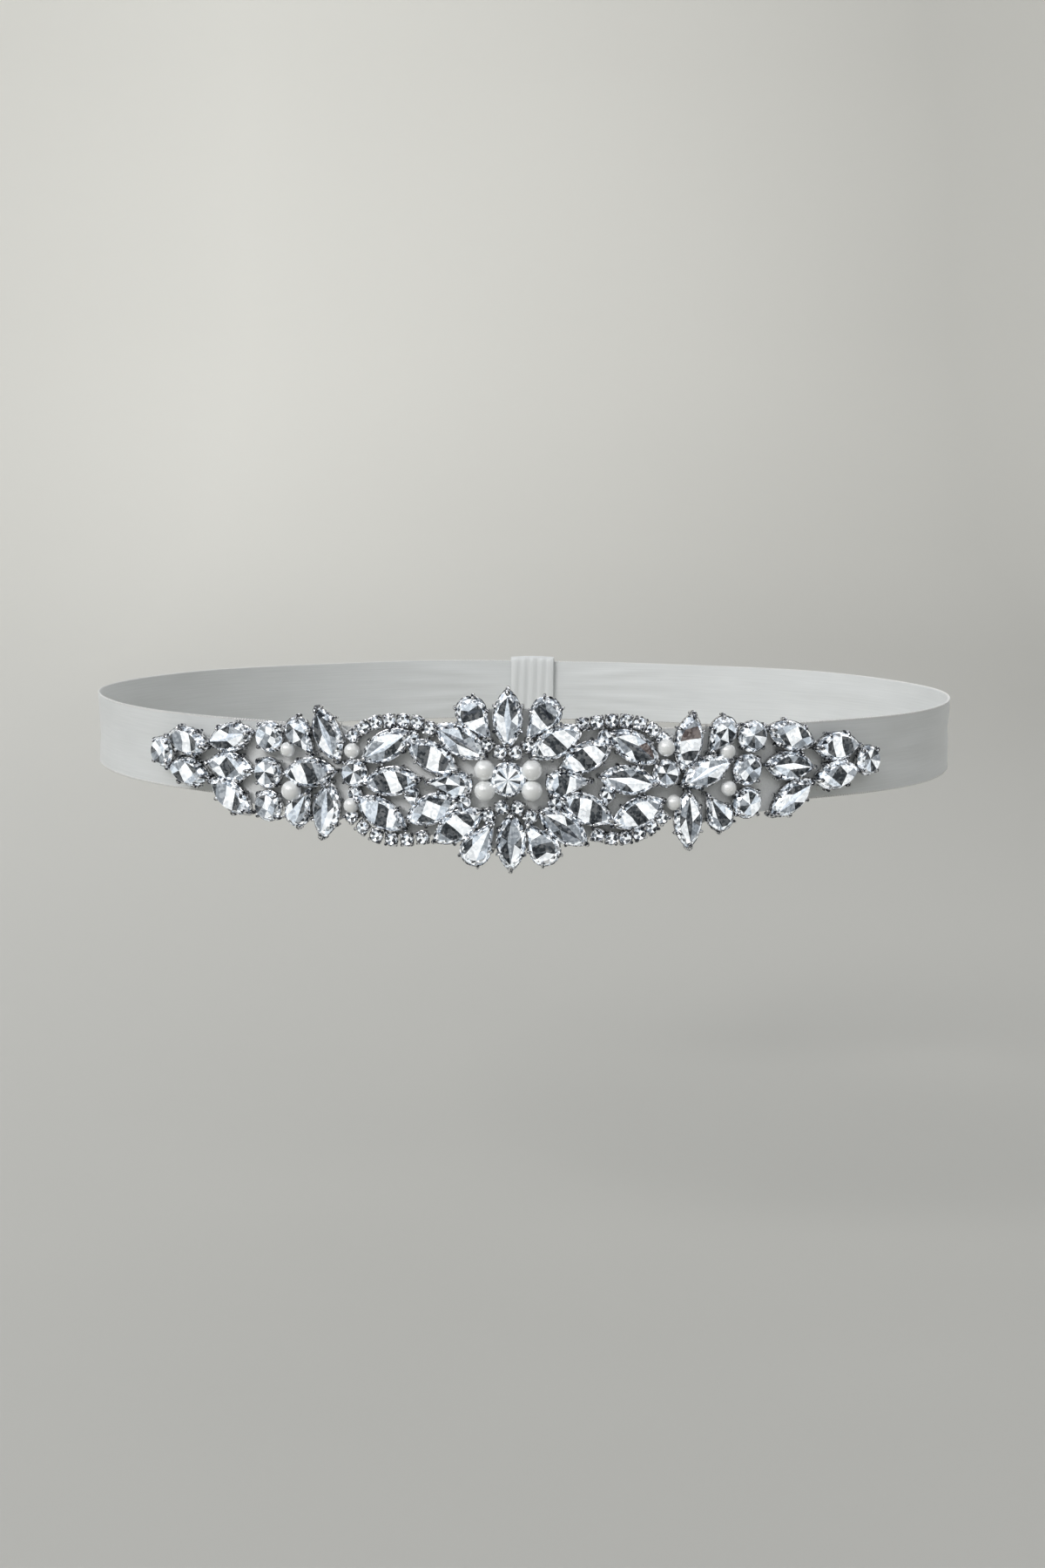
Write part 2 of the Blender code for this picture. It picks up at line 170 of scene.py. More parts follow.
def bowl_mesh():
    """A flat disc whose rim curves up, as rings of points."""
    builder = bmesh.new()
    rings = []
    turns = [2 * math.pi * i / BOWL_SIDES for i in range(BOWL_SIDES)]
    for ring in BOWL:
        height = FLOOR_HEIGHT + ring.rise
        rings.append([
            builder.verts.new((ring.radius * math.cos(turn), ring.radius * math.sin(turn), height))
            for turn in turns
        ])
    builder.faces.new(rings[0])
    for low, high in zip(rings, rings[1:]):
        for i in range(BOWL_SIDES):
            j = (i + 1) % BOWL_SIDES
            builder.faces.new((low[i], high[i], high[j], low[j]))
    mesh = bpy.data.meshes.new("floor")
    builder.to_mesh(mesh)
    builder.free()
    mesh.shade_smooth()
    return mesh


floor = add_object("floor", bowl_mesh())
print("Three lights and a floor", round(-FLOOR_HEIGHT / MM), "mm under the waist")

# %% [markdown]
# ## Writing nodes as sums
# A material is a tree of nodes. Wiring each one by hand hides what it works out, so one small class wraps a
# socket: adding or multiplying two of them adds the Math node for it, and any other node comes from one
# method.

# %% The node desk and its wires


class Desk:
    """A tree that nodes are added to: the settings of a node are set first, then its sockets."""

    def __init__(self, tree):
        self.tree = tree

    def add(self, kind, settings=None, sockets=None):
        node = self.tree.nodes.new(kind)
        for name, value in (settings or {}).items():
            if name == "interpolation":
                node.color_ramp.interpolation = value
            elif name == "stops":
                ramp = node.color_ramp
                while len(ramp.elements) < len(value):
                    ramp.elements.new(1.0)
                for element, (place, colour) in zip(ramp.elements, value):
                    element.position = place
                    element.color = colour
            else:
                setattr(node, name, value)
        for name, value in (sockets or {}).items():
            if isinstance(value, Wire):
                self.tree.links.new(value.socket, node.inputs[name])
            else:
                node.inputs[name].default_value = value
        shown = [socket for socket in node.outputs if socket.enabled]
        return Wire(self, node, shown[0]) if shown else node

    def noise(self, vector, scale, detail, stretch=None):
        if stretch:
            vector = self.add("ShaderNodeMapping", None, {"Vector": vector, "Scale": stretch})
        return self.add("ShaderNodeTexNoise", None, {"Vector": vector, "Scale": scale, "Detail": detail})

    def bump(self, strength, depth, height):
        return self.add("ShaderNodeBump", None, {"Strength": strength, "Distance": depth, "Height": height})

    def ramp(self, share, *stops, **settings):
        """Colours for shares from 0 to 1. Each stop is a share and its red, green and blue."""
        settings["stops"] = [(place, (*colour, 1)) for place, colour in stops]
        return self.add("ShaderNodeValToRGB", settings, {"Fac": share})


class Wire:
    """One output of a node, which can be added, multiplied, and taken away from a number."""

    def __init__(self, desk, node, socket):
        self.desk = desk
        self.node = node
        self.socket = socket

    def out(self, name):
        """Another output of the same node."""
        return Wire(self.desk, self.node, self.node.outputs[name])

    def maths(self, operation, first, second):
        return self.desk.add("ShaderNodeMath", {"operation": operation}, {0: first, 1: second})

    def __add__(self, other):
        return self.maths("ADD", self, other)

    def __radd__(self, other):
        return self.maths("ADD", other, self)

    def __rsub__(self, other):
        return self.maths("SUBTRACT", other, self)

    def __mul__(self, other):
        return self.maths("MULTIPLY", self, other)

    def __rmul__(self, other):
        return self.maths("MULTIPLY", other, self)


def new_finish(name, **constants):
    """A material with a Principled shader. Values that are the same all over go on its own sockets."""
    finish = bpy.data.materials.new(name)
    finish.use_nodes = True
    shader = finish.node_tree.nodes["Principled BSDF"]
    for socket, value in constants.items():
        shader.inputs[socket.replace("_", " ")].default_value = value
    return finish, Desk(finish.node_tree), shader


def plug(desk, shader, **wires):
    for socket, wire in wires.items():
        desk.tree.links.new(wire.socket, shader.inputs[socket.replace("_", " ")])


print("Ready to write nodes")

# %% [markdown]
# ## The room and the floor's paint
# The room that the stones mirror is a soft noise of bright and dim patches, and it is brighter on the side
# that the lights come from. The floor is painted a little darker towards the wearer's left, which is painted
# shade.

# %% The room and the floor's paint
room = bpy.data.worlds.new("room")
room.use_nodes = True
desk = Desk(room.node_tree)
way = desk.add("ShaderNodeTexCoord").out("Generated")
patches = desk.noise(way, 2.8, 1.0)
room_colour = desk.ramp(
    patches, (0.40, (0.16, 0.17, 0.19)), (0.49, (0.62, 0.63, 0.65)), (0.58, (0.98, 0.99, 1.0)),
)
sideways = desk.add("ShaderNodeSeparateXYZ", None, {"Vector": way}).out("X")
plug(desk, room.node_tree.nodes["Background"], Color=room_colour, Strength=1.12 - 0.6 * sideways)
bpy.context.scene.world = room
bpy.context.scene.view_settings.view_transform = "Standard"

floor_finish, desk, shader = new_finish("pale_floor", Roughness=0.9)
place = desk.add("ShaderNodeTexCoord").out("Object")
cloudy = desk.noise(place, 0.7, 2.0)
across = desk.add("ShaderNodeSeparateXYZ", None, {"Vector": place}).out("X")
# Painted shade: the floor's colour grows darker towards +X, the wearer's left, over a cloudy noise.
floor_colour_and_painted_shade = desk.ramp(
    cloudy * 0.2 + across * 0.5 + 0.4, (0.2, (0.665, 0.66, 0.62)), (0.8, (0.41, 0.407, 0.382)),
)
plug(desk, shader, Base_Color=floor_colour_and_painted_shade)
floor.data.materials.append(floor_finish)
print("The room and the floor are painted")

# %% [markdown]
# ## Satin
# Satin is woven with long floats, so light runs along the ribbon in fine streaks and the cloth has a soft
# sheen. The streaks come from a noise that is stretched along the cloth, on a UV map that counts millimetres,
# so that they have the same size on the band, the knot and the tails. They shift roughness a little, and they
# shift colour a little as painted sheen. A second, finer noise gives the weave its bump.

# %% The satin finish
satin, desk, shader = new_finish("satin", Sheen_Weight=0.35, Sheen_Roughness=0.35, Specular_IOR_Level=0.55)
cloth_mm = desk.add("ShaderNodeUVMap", {"uv_map": "cloth_mm"})
streak_and_painted_sheen = desk.noise(cloth_mm, 1.0, 3.0, stretch=(0.06, 2.2, 1.0))
weave = desk.noise(cloth_mm, 1.0, 2.0, stretch=(1.1, 3.4, 1.0))
cloud = desk.noise(cloth_mm, 1.0, 1.0, stretch=(0.05, 0.11, 1.0))
# The streak's share of the satin colour is painted sheen.
satin_colour_and_painted_sheen = desk.ramp(
    streak_and_painted_sheen * 0.6 + cloud * 0.4, (0.25, (0.65, 0.67, 0.672)), (0.75, (0.75, 0.77, 0.772)),
)
satin_bump = desk.bump(0.25, 0.05 * MM, weave * 0.8 + streak_and_painted_sheen * 0.4)
plug(desk, shader, Base_Color=satin_colour_and_painted_sheen, Roughness=0.34 + streak_and_painted_sheen * 0.12, Normal=satin_bump)
print("Satin has", len(satin.node_tree.nodes), "nodes")

# %% [markdown]
# ## Felt
# The backing is thin pressed felt. It has no threads, only short fibres that lie every way, so two noises of
# different size, on Object coordinates, mottle its colour and raise its nap.

# %% The felt finish
felt, desk, shader = new_finish("felt", Roughness=0.95, Sheen_Weight=0.25, Specular_IOR_Level=0.2)
place = desk.add("ShaderNodeTexCoord").out("Object")
fibre = desk.noise(place, 2600.0, 3.0)
patch = desk.noise(place, 260.0, 2.0)
felt_colour = desk.ramp(fibre * 0.6 + patch * 0.4, (0.3, (0.80, 0.815, 0.82)), (0.7, (0.93, 0.945, 0.95)))
felt_bump = desk.bump(0.7, 0.15 * MM, fibre)
plug(desk, shader, Base_Color=felt_colour, Normal=felt_bump)
print("Felt has", len(felt.node_tree.nodes), "nodes")

# %% [markdown]
# ## Crystal
# The stones are clear glass with a silver foil behind. Light goes in, strikes the foil and comes back, so
# each small facet shows one flat tone: white, pale blue-grey, grey, charcoal or, in two stones, brown. Clear
# glass over a mirror is slow to render and is lost in an exported file, so each facet here is a small mirror
# under a clear coat, with that tone painted on it as a painted reflection, kept in a colour attribute. The
# fourth value of the attribute says how far a facet is broken up into chips of other painted tones: much at
# the rim, little in the middle. The facets also give off a little light, the bright tones most: a painted
# glow that stands for the light that the foil sends back.

# %% The crystal finish
crystal, desk, shader = new_finish(
    "crystal", Metallic=1.0, Coat_Weight=0.7, Coat_Roughness=0.02, Coat_IOR=1.6, Emission_Strength=0.8,
)
# The facet tones and the chips below are painted reflection: light and shade painted on as colour.
tone = desk.add("ShaderNodeAttribute", {"attribute_name": "tone"})
place = desk.add("ShaderNodeTexCoord").out("Object")
chip = desk.add("ShaderNodeTexVoronoi", {"feature": "F1"}, {"Vector": place, "Scale": 1500.0}).out("Color")
chip_share = desk.add("ShaderNodeSeparateColor", None, {"Color": chip})
chip_painted_reflection = desk.ramp(
    chip_share, (0.0, (0.05, 0.06, 0.07)), (0.30, (0.30, 0.33, 0.36)), (0.52, (0.74, 0.77, 0.80)),
    (0.70, (0.98, 0.985, 0.99)), interpolation="CONSTANT",
)
crystal_painted_reflection = desk.add(
    "ShaderNodeMix", {"data_type": "RGBA"}, {0: tone.out("Alpha") * 0.55, 6: tone.out("Color"), 7: chip_painted_reflection},
).out(2)
# A painted glow: each facet gives off light in its own painted tone, the white ones most.
painted_glow = desk.add(
    "ShaderNodeMix", {"data_type": "RGBA", "blend_type": "MULTIPLY"},
    {0: 1.0, 6: crystal_painted_reflection, 7: crystal_painted_reflection},
).out(2)
plug(desk, shader, Base_Color=crystal_painted_reflection, Emission_Color=painted_glow, Roughness=0.03 + chip_share * 0.08)
print("Crystal has", len(crystal.node_tree.nodes), "nodes")

# %% [markdown]
# ## Silver, pearl and thread
# The cups, claws and chain are plated and polished. Their colour is painted reflection: fine dark and bright
# specks, from a noise that also varies their roughness and bump. The pearls are white with a soft lustre
# under a clear skin. The thread is matt white cotton.

# %% The silver finish
silver, desk, shader = new_finish("silver", Metallic=1.0)
place = desk.add("ShaderNodeTexCoord").out("Object")
speck_and_painted_reflection = desk.noise(place, 1400.0, 2.0)
# The dark and bright specks in the silver's colour are painted reflection.
silver_painted_reflection = desk.ramp(
    speck_and_painted_reflection, (0.43, (0.05, 0.055, 0.065)), (0.51, (0.36, 0.37, 0.39)), (0.59, (0.94, 0.945, 0.96)),
)
silver_bump = desk.bump(0.25, 0.03 * MM, speck_and_painted_reflection)
plug(desk, shader, Base_Color=silver_painted_reflection, Roughness=0.12 + speck_and_painted_reflection * 0.2, Normal=silver_bump)
print("Silver has", len(silver.node_tree.nodes), "nodes")

# %% The pearl finish
pearl, desk, shader = new_finish(
    "pearl", Metallic=0.15, Coat_Weight=0.8, Coat_Roughness=0.05, Specular_IOR_Level=0.6,
)
place = desk.add("ShaderNodeTexCoord").out("Object")
lustre = desk.noise(place, 420.0, 2.0)
pearl_colour = desk.ramp(lustre, (0.3, (0.84, 0.855, 0.855)), (0.7, (0.94, 0.95, 0.95)))
plug(desk, shader, Base_Color=pearl_colour, Roughness=0.20 + lustre * 0.12)
print("Pearl has", len(pearl.node_tree.nodes), "nodes")

# %% The thread finish
thread, desk, shader = new_finish("thread", Specular_IOR_Level=0.3)
place = desk.add("ShaderNodeTexCoord").out("Object")
ply = desk.noise(place, 3500.0, 2.0)
thread_colour = desk.ramp(ply, (0.3, (0.66, 0.66, 0.65)), (0.7, (0.86, 0.86, 0.85)))
thread_bump = desk.bump(0.5, 0.05 * MM, ply)
plug(desk, shader, Base_Color=thread_colour, Roughness=0.7 + ply * 0.15, Normal=thread_bump)
print("Thread has", len(thread.node_tree.nodes), "nodes")

# %% [markdown]
# ## Cloth as a thin shell
# A ribbon is a sheet with a thickness. Each cloth piece is laid out as a grid of points on its middle, and
# one helper gives it a front, a back and edges. It also writes two UV maps: "place", which gives each side a
# half of the square, and "cloth_mm", which counts millimetres for the satin's streaks.

# %% The cloth helper
RIBBON_WALL = 0.6 * MM
UV_HALF = 0.47
CLOTH_SMOOTHING = math.radians(50)


def added_lengths(points):
    """How far each point of a path lies from its first one, measured along the path."""
    return np.concatenate(([0], np.cumsum(np.linalg.norm(np.diff(points, axis=0), axis=1))))


def cloth_sheet(name, grid, wall, finish, closed_rows=False):
    """A sheet from a grid of points, row after row along the cloth. closed_rows joins its two ends."""
    rows, columns = grid.shape[:2]
    if closed_rows:
        along = np.roll(grid, -1, 0) - np.roll(grid, 1, 0)
    else:
        along = np.gradient(grid, axis=0)
    across = np.gradient(grid, axis=1)
    normal = np.cross(along, across)
    normal /= np.linalg.norm(normal, axis=-1, keepdims=True)
    front, back = grid + normal * wall / 2, grid - normal * wall / 2
    points = np.concatenate((front.reshape(-1, 3), back.reshape(-1, 3)))
    wide = added_lengths(grid[rows // 2]) / MM
    step = added_lengths(grid[:, columns // 2])[-1] / MM / (rows - 1)
    faces, place_uv, cloth_uv = [], [], []

    def add_face(corners):
        """corners: each one's row, column and side, where a row past the last one is the first again."""
        faces.append([
            (row % rows) * columns + column + side * rows * columns for row, column, side in corners
        ])
        for row, column, side in corners:
            u = row / rows
            v = column / (columns - 1) * UV_HALF
            place_uv.append((u, v if side == 0 else 1 - v))
            cloth_uv.append((row * step, wide[column]))

    last = rows if closed_rows else rows - 1
    for i in range(last):
        for j in range(columns - 1):
            add_face(((i, j, 0), (i + 1, j, 0), (i + 1, j + 1, 0), (i, j + 1, 0)))
            add_face(((i, j, 1), (i, j + 1, 1), (i + 1, j + 1, 1), (i + 1, j, 1)))
        add_face(((i, 0, 0), (i, 0, 1), (i + 1, 0, 1), (i + 1, 0, 0)))
        edge = columns - 1
        add_face(((i, edge, 0), (i + 1, edge, 0), (i + 1, edge, 1), (i, edge, 1)))
    if not closed_rows:
        for j in range(columns - 1):
            add_face(((0, j, 0), (0, j + 1, 0), (0, j + 1, 1), (0, j, 1)))
            add_face(((last, j, 0), (last, j, 1), (last, j + 1, 1), (last, j + 1, 0)))
    mesh = bpy.data.meshes.new(name)
    mesh.from_pydata([tuple(p) for p in points], [], faces)
    for map_name, values in (("place", place_uv), ("cloth_mm", cloth_uv)):
        layer = mesh.uv_layers.new(name=map_name)
        layer.data.foreach_set("uv", np.array(values, np.float32).ravel())
    mesh.shade_smooth()
    mesh.set_sharp_from_angle(angle=CLOTH_SMOOTHING)
    mesh.materials.append(finish)
    return add_object(name, mesh)


def report(piece):
    """Print a closed piece's faces and volume. The volume is above nought if its faces look outwards."""
    builder = bmesh.new()
    builder.from_mesh(piece.data)
    volume = builder.calc_volume(signed=True) / (10 * MM) ** 3
    print(piece.name, "has", len(builder.faces), "faces and a volume of", round(volume, 2), "cm3")
    builder.free()


print("Cloth is", RIBBON_WALL / MM, "mm thick")

# %% [markdown]
# ## The ribbon
# The band lies flat round the waist. It isn't stiff, so it has a few soft dents: where the trim's stitches
# pull at both ends, where it bends at the sides, and short pleats that run into the knot. They are listed in
# a table: each is a long shallow valley, slanted across the ribbon.

# %% The ribbon band
Dent = namedtuple("Dent", "along up slant reach width depth")
DENTS = [Dent(*row) for row in (
    (-112, 1.0, 0.10, 13, 2.4, 0.45), (-121, -4.0, -0.14, 16, 2.8, 0.35), (-138, 3.0, 0.06, 20, 3.4, 0.5),
    (-163, -2.5, -0.05, 24, 3.0, 0.4), (-196, 4.5, 0.04, 26, 3.2, 0.45), (-232, -4.0, -0.05, 24, 3.0, 0.4),
    (110, -2.0, -0.10, 12, 2.4, 0.45), (123, 4.5, 0.12, 15, 2.6, 0.4), (141, -4.5, -0.08, 20, 3.2, 0.5),
    (168, 2.0, 0.05, 24, 3.2, 0.4), (201, -3.0, -0.05, 26, 3.0, 0.45), (236, 3.5, 0.04, 24, 3.0, 0.4),
    (-328, 6.0, 0.10, 17, 1.5, 0.5), (-330, 2.0, 0.04, 20, 1.4, 0.55), (-329, -2.2, -0.04, 19, 1.4, 0.55),
    (-328, -6.2, -0.10, 17, 1.5, 0.5), (328, 6.0, -0.10, 17, 1.5, 0.5), (330, 2.2, -0.04, 20, 1.4, 0.55),
    (329, -2.0, 0.04, 19, 1.4, 0.55), (328, -6.0, 0.10, 17, 1.5, 0.5),
)]
BAND_MIDDLE = -0.5 * MM
BAND_ROWS = 520
BAND_COLUMNS = 17
Wave = namedtuple("Wave", "height length start")
EDGE_WAVES = (Wave(0.15 * MM, 31 * MM, 0), Wave(0.1 * MM, 13 * MM, 1))


def dent_depth(along_mm, up_mm):
    depth = np.zeros(np.broadcast(along_mm, up_mm).shape)
    for dent in DENTS:
        run = along_mm - dent.along
        rise = up_mm - dent.up - dent.slant * run
        depth += dent.depth * np.exp(-(run / dent.reach) ** 2 - (rise / dent.width) ** 2)
    return depth


band_along = np.linspace(-RING_HALF, RING_HALF, BAND_ROWS, endpoint=False)[:, None]
band_up = np.linspace(RIBBON_HALF, -RIBBON_HALF, BAND_COLUMNS)[None, :]
edge_wave = sum(wave.height * np.sin(band_along / wave.length + wave.start) for wave in EDGE_WAVES)
band_grid = ring_place(
    band_along, band_up + edge_wave, BAND_MIDDLE - dent_depth(band_along / MM, band_up / MM) * MM,
)
ribbon = cloth_sheet("ribbon", band_grid, RIBBON_WALL, satin, closed_rows=True)
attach(ribbon, "root")
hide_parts("ribbon_band")
report(ribbon)

# %% [markdown]
# ## The knot
# At the centre back the ribbon's end goes once round the band and is pulled tight. Seen from the side it is
# a flat loop, full at the outside, and its pleats run round it. A squared oval, carried a short way along the
# ribbon, has that form, and a cosine across it makes the pleats. The oval's power says how square it is: with
# 1 it would be an ellipse.

# %% The ribbon knot
KNOT_LENGTH = 15 * MM
KNOT_HALF_HEIGHT = 11.0 * MM
KNOT_SWELL = 0.6 * MM
KNOT_HALF_DEPTH = 1.5 * MM
KNOT_CROWN = 3.1 * MM
KNOT_END_LOSS = 0.55
OVAL_POWER = 0.42
KNOT_ROWS = 72
KNOT_COLUMNS = 25
PLEAT_PITCH = 3.1 * MM
PLEAT_DEPTH = 0.32 * MM
PLEAT_LEAN = 0.9

knot_turn = np.linspace(0, 2 * math.pi, KNOT_ROWS, endpoint=False)[:, None]
knot_across = np.linspace(-1, 1, KNOT_COLUMNS)[None, :]
fullness = 1 - KNOT_END_LOSS * knot_across ** 2
oval_up = np.sign(np.cos(knot_turn)) * np.abs(np.cos(knot_turn)) ** OVAL_POWER
oval_out = np.sign(np.sin(knot_turn)) * np.abs(np.sin(knot_turn)) ** OVAL_POWER
outer, inner = np.maximum(oval_out, 0), np.maximum(-oval_out, 0)
pleat = np.cos(math.pi * knot_across * KNOT_LENGTH / PLEAT_PITCH + PLEAT_LEAN * oval_up)
knot_up = oval_up * (KNOT_HALF_HEIGHT + KNOT_SWELL * fullness)
knot_out = BAND_MIDDLE + oval_out * KNOT_HALF_DEPTH + KNOT_CROWN * fullness * (1 - oval_up ** 2) * outer
knot_out = knot_out + PLEAT_DEPTH * (outer * pleat - inner * (0.5 + 0.5 * pleat))
knot_along = RING_HALF + knot_across * KNOT_LENGTH / 2
knot = cloth_sheet("knot", ring_place(knot_along, knot_up, knot_out), RIBBON_WALL, satin, closed_rows=True)
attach(knot, "root")
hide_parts("ribbon_knot")
report(knot)

# %% [markdown]
# ## The tails
# Two short ends hang from under the knot and are cut on the slant so that they don't fray. They leave the
# knot gathered and cupped, and flatten out as they fall. A table gives each height its width, its distance
# from the body, its cup and the depth of its folds, which fade out downwards. The table is read at five
# heights round each point, and their mean gives the tails smooth sides.

# %% The ribbon's tails
TailSection = namedtuple("TailSection", "drop width out cup fold")
TAIL = [TailSection(*row) for row in (
    (0, 5.5, -0.2, 0.6, 0.2), (3, 10, 1.3, 1.2, 0.4), (7.5, 13, 2.4, 1.6, 0.5), (14.5, 17, 3.6, 1.2, 0.4),
    (23.5, 19.5, 3.4, 0.6, 0.3), (35.5, 20, 2.6, 0.4, 0.15), (47.5, 20, 2.2, 0.8, 0.1),
)]
TAIL_SOFTENING = (-3, -1.5, 0, 1.5, 3)
TAIL_GAP = 0.3 * MM
TAIL_SEAT = -0.6 * MM
FOLD_WAVE = 7.5
TAIL_TOP = -10.4 * MM
TAIL_LENGTH = 43.4 * MM
TAIL_CUT_SLANT = 8 * MM
TAIL_SPLAY = math.radians(9)
TAIL_ROWS = 60
TAIL_COLUMNS = 19


def tail_grid(side):
    across = np.linspace(-1, 1, TAIL_COLUMNS)[None, :]
    share = np.linspace(0, 1, TAIL_ROWS)[:, None]
    drop = share * (TAIL_LENGTH - side * across * TAIL_CUT_SLANT / 2)
    drops, *columns = np.array(TAIL).T
    width, out, cup, fold = (
        sum(np.interp(drop / MM + step, drops, column) for step in TAIL_SOFTENING) / len(TAIL_SOFTENING) * MM
        for column in columns
    )
    sideways = side * (width / 2 + TAIL_GAP + drop * math.sin(TAIL_SPLAY)) + across * width / 2
    depth = TAIL_SEAT + out + cup * (1 - across ** 2) + fold * np.cos(across * FOLD_WAVE + side)
    return ring_place(RING_HALF + sideways, TAIL_TOP - drop * math.cos(TAIL_SPLAY), depth)


for name, side in (("left", 1), ("right", -1)):
    tail = cloth_sheet("tail_" + name, tail_grid(side), RIBBON_WALL, satin)
    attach(tail, "root")
    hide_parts("ribbon_tail_" + name)
    report(tail)

# %% [markdown]
# ## The felt backing
# The trim is sewn on a strip of felt that is cut a little smaller than the stones, so it shows only between
# them. The table is half of its outline, and the other half is its mirror.

# %% The felt backing
FELT_OUT = 0.8 * MM
FELT_WALL = 0.9 * MM
FELT_HALF_MM = 100
FELT_ROWS = 150
FELT_COLUMNS = 9
Outline = namedtuple("Outline", "along top bottom")
FELT_OUTLINE = [Outline(*row) for row in (
    (0, 16.5, -20.5), (6, 15, -20), (11, 11, -18.5), (18, 11, -17), (28, 12.5, -17.5), (35, 11, -15),
    (40, 7.5, -12), (46, 11.5, -15.5), (52, 9.5, -13.5), (58, 8, -11.5), (63, 9, -12.5), (68, 7.5, -12),
    (75, 7.5, -10.5), (82, 4.5, -6.5), (89, 5, -6.5), (96, 3, -3.5), (100, 2, -2),
)]


def felt_edge(along, edge):
    """The height of the felt's top or bottom edge at a length along the ribbon."""
    heights = [getattr(row, edge) for row in FELT_OUTLINE]
    return np.interp(np.abs(along) / MM, [row.along for row in FELT_OUTLINE], heights) * MM


felt_along = np.linspace(FELT_HALF_MM, -FELT_HALF_MM, FELT_ROWS)[:, None] * MM
felt_share = np.linspace(0, 1, FELT_COLUMNS)[None, :]
felt_bottom = felt_edge(felt_along, "bottom")
felt_up = felt_bottom + felt_share * (felt_edge(felt_along, "top") - felt_bottom)
backing = cloth_sheet("backing", ring_place(felt_along, felt_up, FELT_OUT), FELT_WALL, felt)
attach(backing, "root")
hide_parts("trim_backing")
report(backing)

# %% [markdown]
# ## Where the stones sit
# The trim is made by hand, so the left and right halves are alike but not the same. One table row holds a
# stone and its partner: how far along from the centre front, how high, and by how many degrees its outer end
# is lifted. The six petals over and under the centre come after, then the centre stone and the small stones
# between the large ones.

# %% The table of stones
Cut = namedtuple("Cut", "outline length width")
CUTS = {
    "navette": Cut("lens", 15.8 * MM, 7.8 * MM),
    "slim_pear": Cut("drop", 12.4 * MM, 7.2 * MM),
    "pear": Cut("drop", 13.4 * MM, 8.3 * MM),
    "small_pear": Cut("drop", 11.6 * MM, 7.5 * MM),
    "round": Cut("disc", 8.4 * MM, 8.4 * MM),
    "heart": Cut("disc", 7.4 * MM, 7.4 * MM),
    "centre": Cut("rivoli", 9.2 * MM, 9.2 * MM),
    "small_round": Cut("disc", 4.0 * MM, 4.0 * MM),
    "seed_pear": Cut("drop", 6.0 * MM, 4.2 * MM),
}
Pair = namedtuple("Pair", "name cut left_along left_up left_turn right_along right_up right_turn")
PAIRS = [Pair(*row) for row in (
    ("tip_round", "round", 98.5, 0, 0, 98, -0.5, 0),
    ("spray_upper", "navette", 88.8, 3.6, 8, 87.2, 4, 0),
    ("spray_lower", "navette", 88.5, -4.6, 5, 87.3, -3.6, 7),
    ("leaf_upper", "navette", 74.2, 5.7, -14, 72.8, 7.6, -18),
    ("leaf_middle", "navette", 74.5, -2, 5, 72.5, -0.2, -5),
    ("leaf_lower", "navette", 74.5, -9.8, 32, 73.3, -8.6, 35),
    ("row_upper", "round", 62.5, 6.6, 0, 61.8, 7.9, 0),
    ("row_middle", "round", 63, -2.8, 0, 60.5, -0.6, 0),
    ("row_lower", "round", 63, -11.4, 0, 60.6, -9.2, 0),
    ("flower_pear_upper", "small_pear", 53.2, 7, 54, 52.9, 8.2, 56),
    ("flower_pear_lower", "small_pear", 53.6, -11, -58, 52.4, -11, -57),
    ("flower_top", "navette", 46, 8, 67, 44.6, 7, 81),
    ("flower_side", "navette", 51, -2, -5, 49.4, -0.7, 26),
    ("flower_bottom", "navette", 46.5, -11.4, -81, 44.8, -12.8, -88),
    ("flower_heart", "heart", 39, -1.5, 0, 39, -0.8, 0),
    ("fan_outer_upper", "navette", 30.6, 5.7, -30, 30.8, 6, -31),
    ("fan_outer_middle", "navette", 29.2, -3.2, -6, 29.3, -2.3, -8),
    ("fan_outer_lower", "navette", 32, -11.6, 28, 32, -10.7, 24),
    ("fan_inner_upper", "navette", 12, 7.4, 31, 11.6, 7.4, 30),
    ("fan_inner_high", "navette", 18.9, 3.2, 29, 18.9, 3.6, 26),
    ("fan_inner_middle", "slim_pear", 14.8, -3.45, 184, 14.8, -2.9, 186),
    ("fan_inner_low", "navette", 19, -10, -24, 19.2, -9.6, -25),
    ("fan_inner_lower", "navette", 12.6, -14.1, -34, 13.4, -14.1, -36),
)]
Stone = namedtuple("Stone", "group name cut along up turn outward", defaults=(1,))
SINGLE_STONES = [Stone(*row) for row in (
    ("middle", "petal_top_left", "pear", -8, 12.8, 125),
    ("middle", "petal_top", "navette", -0.4, 13.3, 90),
    ("middle", "petal_top_right", "pear", 7.6, 12.9, 55),
    ("middle", "petal_low_left", "pear", -7, -18.2, 238),
    ("middle", "petal_low", "navette", 0.6, -18, 269),
    ("middle", "petal_low_right", "pear", 7.6, -18, 303),
    ("middle", "centre", "centre", -0.3, -2.1, 0),
    ("small", "flower_left", "small_round", -39, -7, 0),
    ("small", "low_left", "small_round", -11.4, -8.2, 0),
    ("small", "low_right", "small_round", 11.4, -8.4, 0),
    ("small", "high_left", "small_round", -24.2, 8.0, 0),
    ("small", "high_right", "small_round", 23.6, 8.6, 0),
    ("small", "drop_left", "seed_pear", -24.2, -7.2, 100),
    ("small", "drop_right", "seed_pear", 24.2, -6.6, 78),
)]

stones = [Stone("left", row.name, row.cut, -row.left_along, row.left_up, row.left_turn, -1) for row in PAIRS]
stones += [Stone("right", row.name, row.cut, row.right_along, row.right_up, row.right_turn) for row in PAIRS]
stones += SINGLE_STONES
print(len(stones), "cut stones")

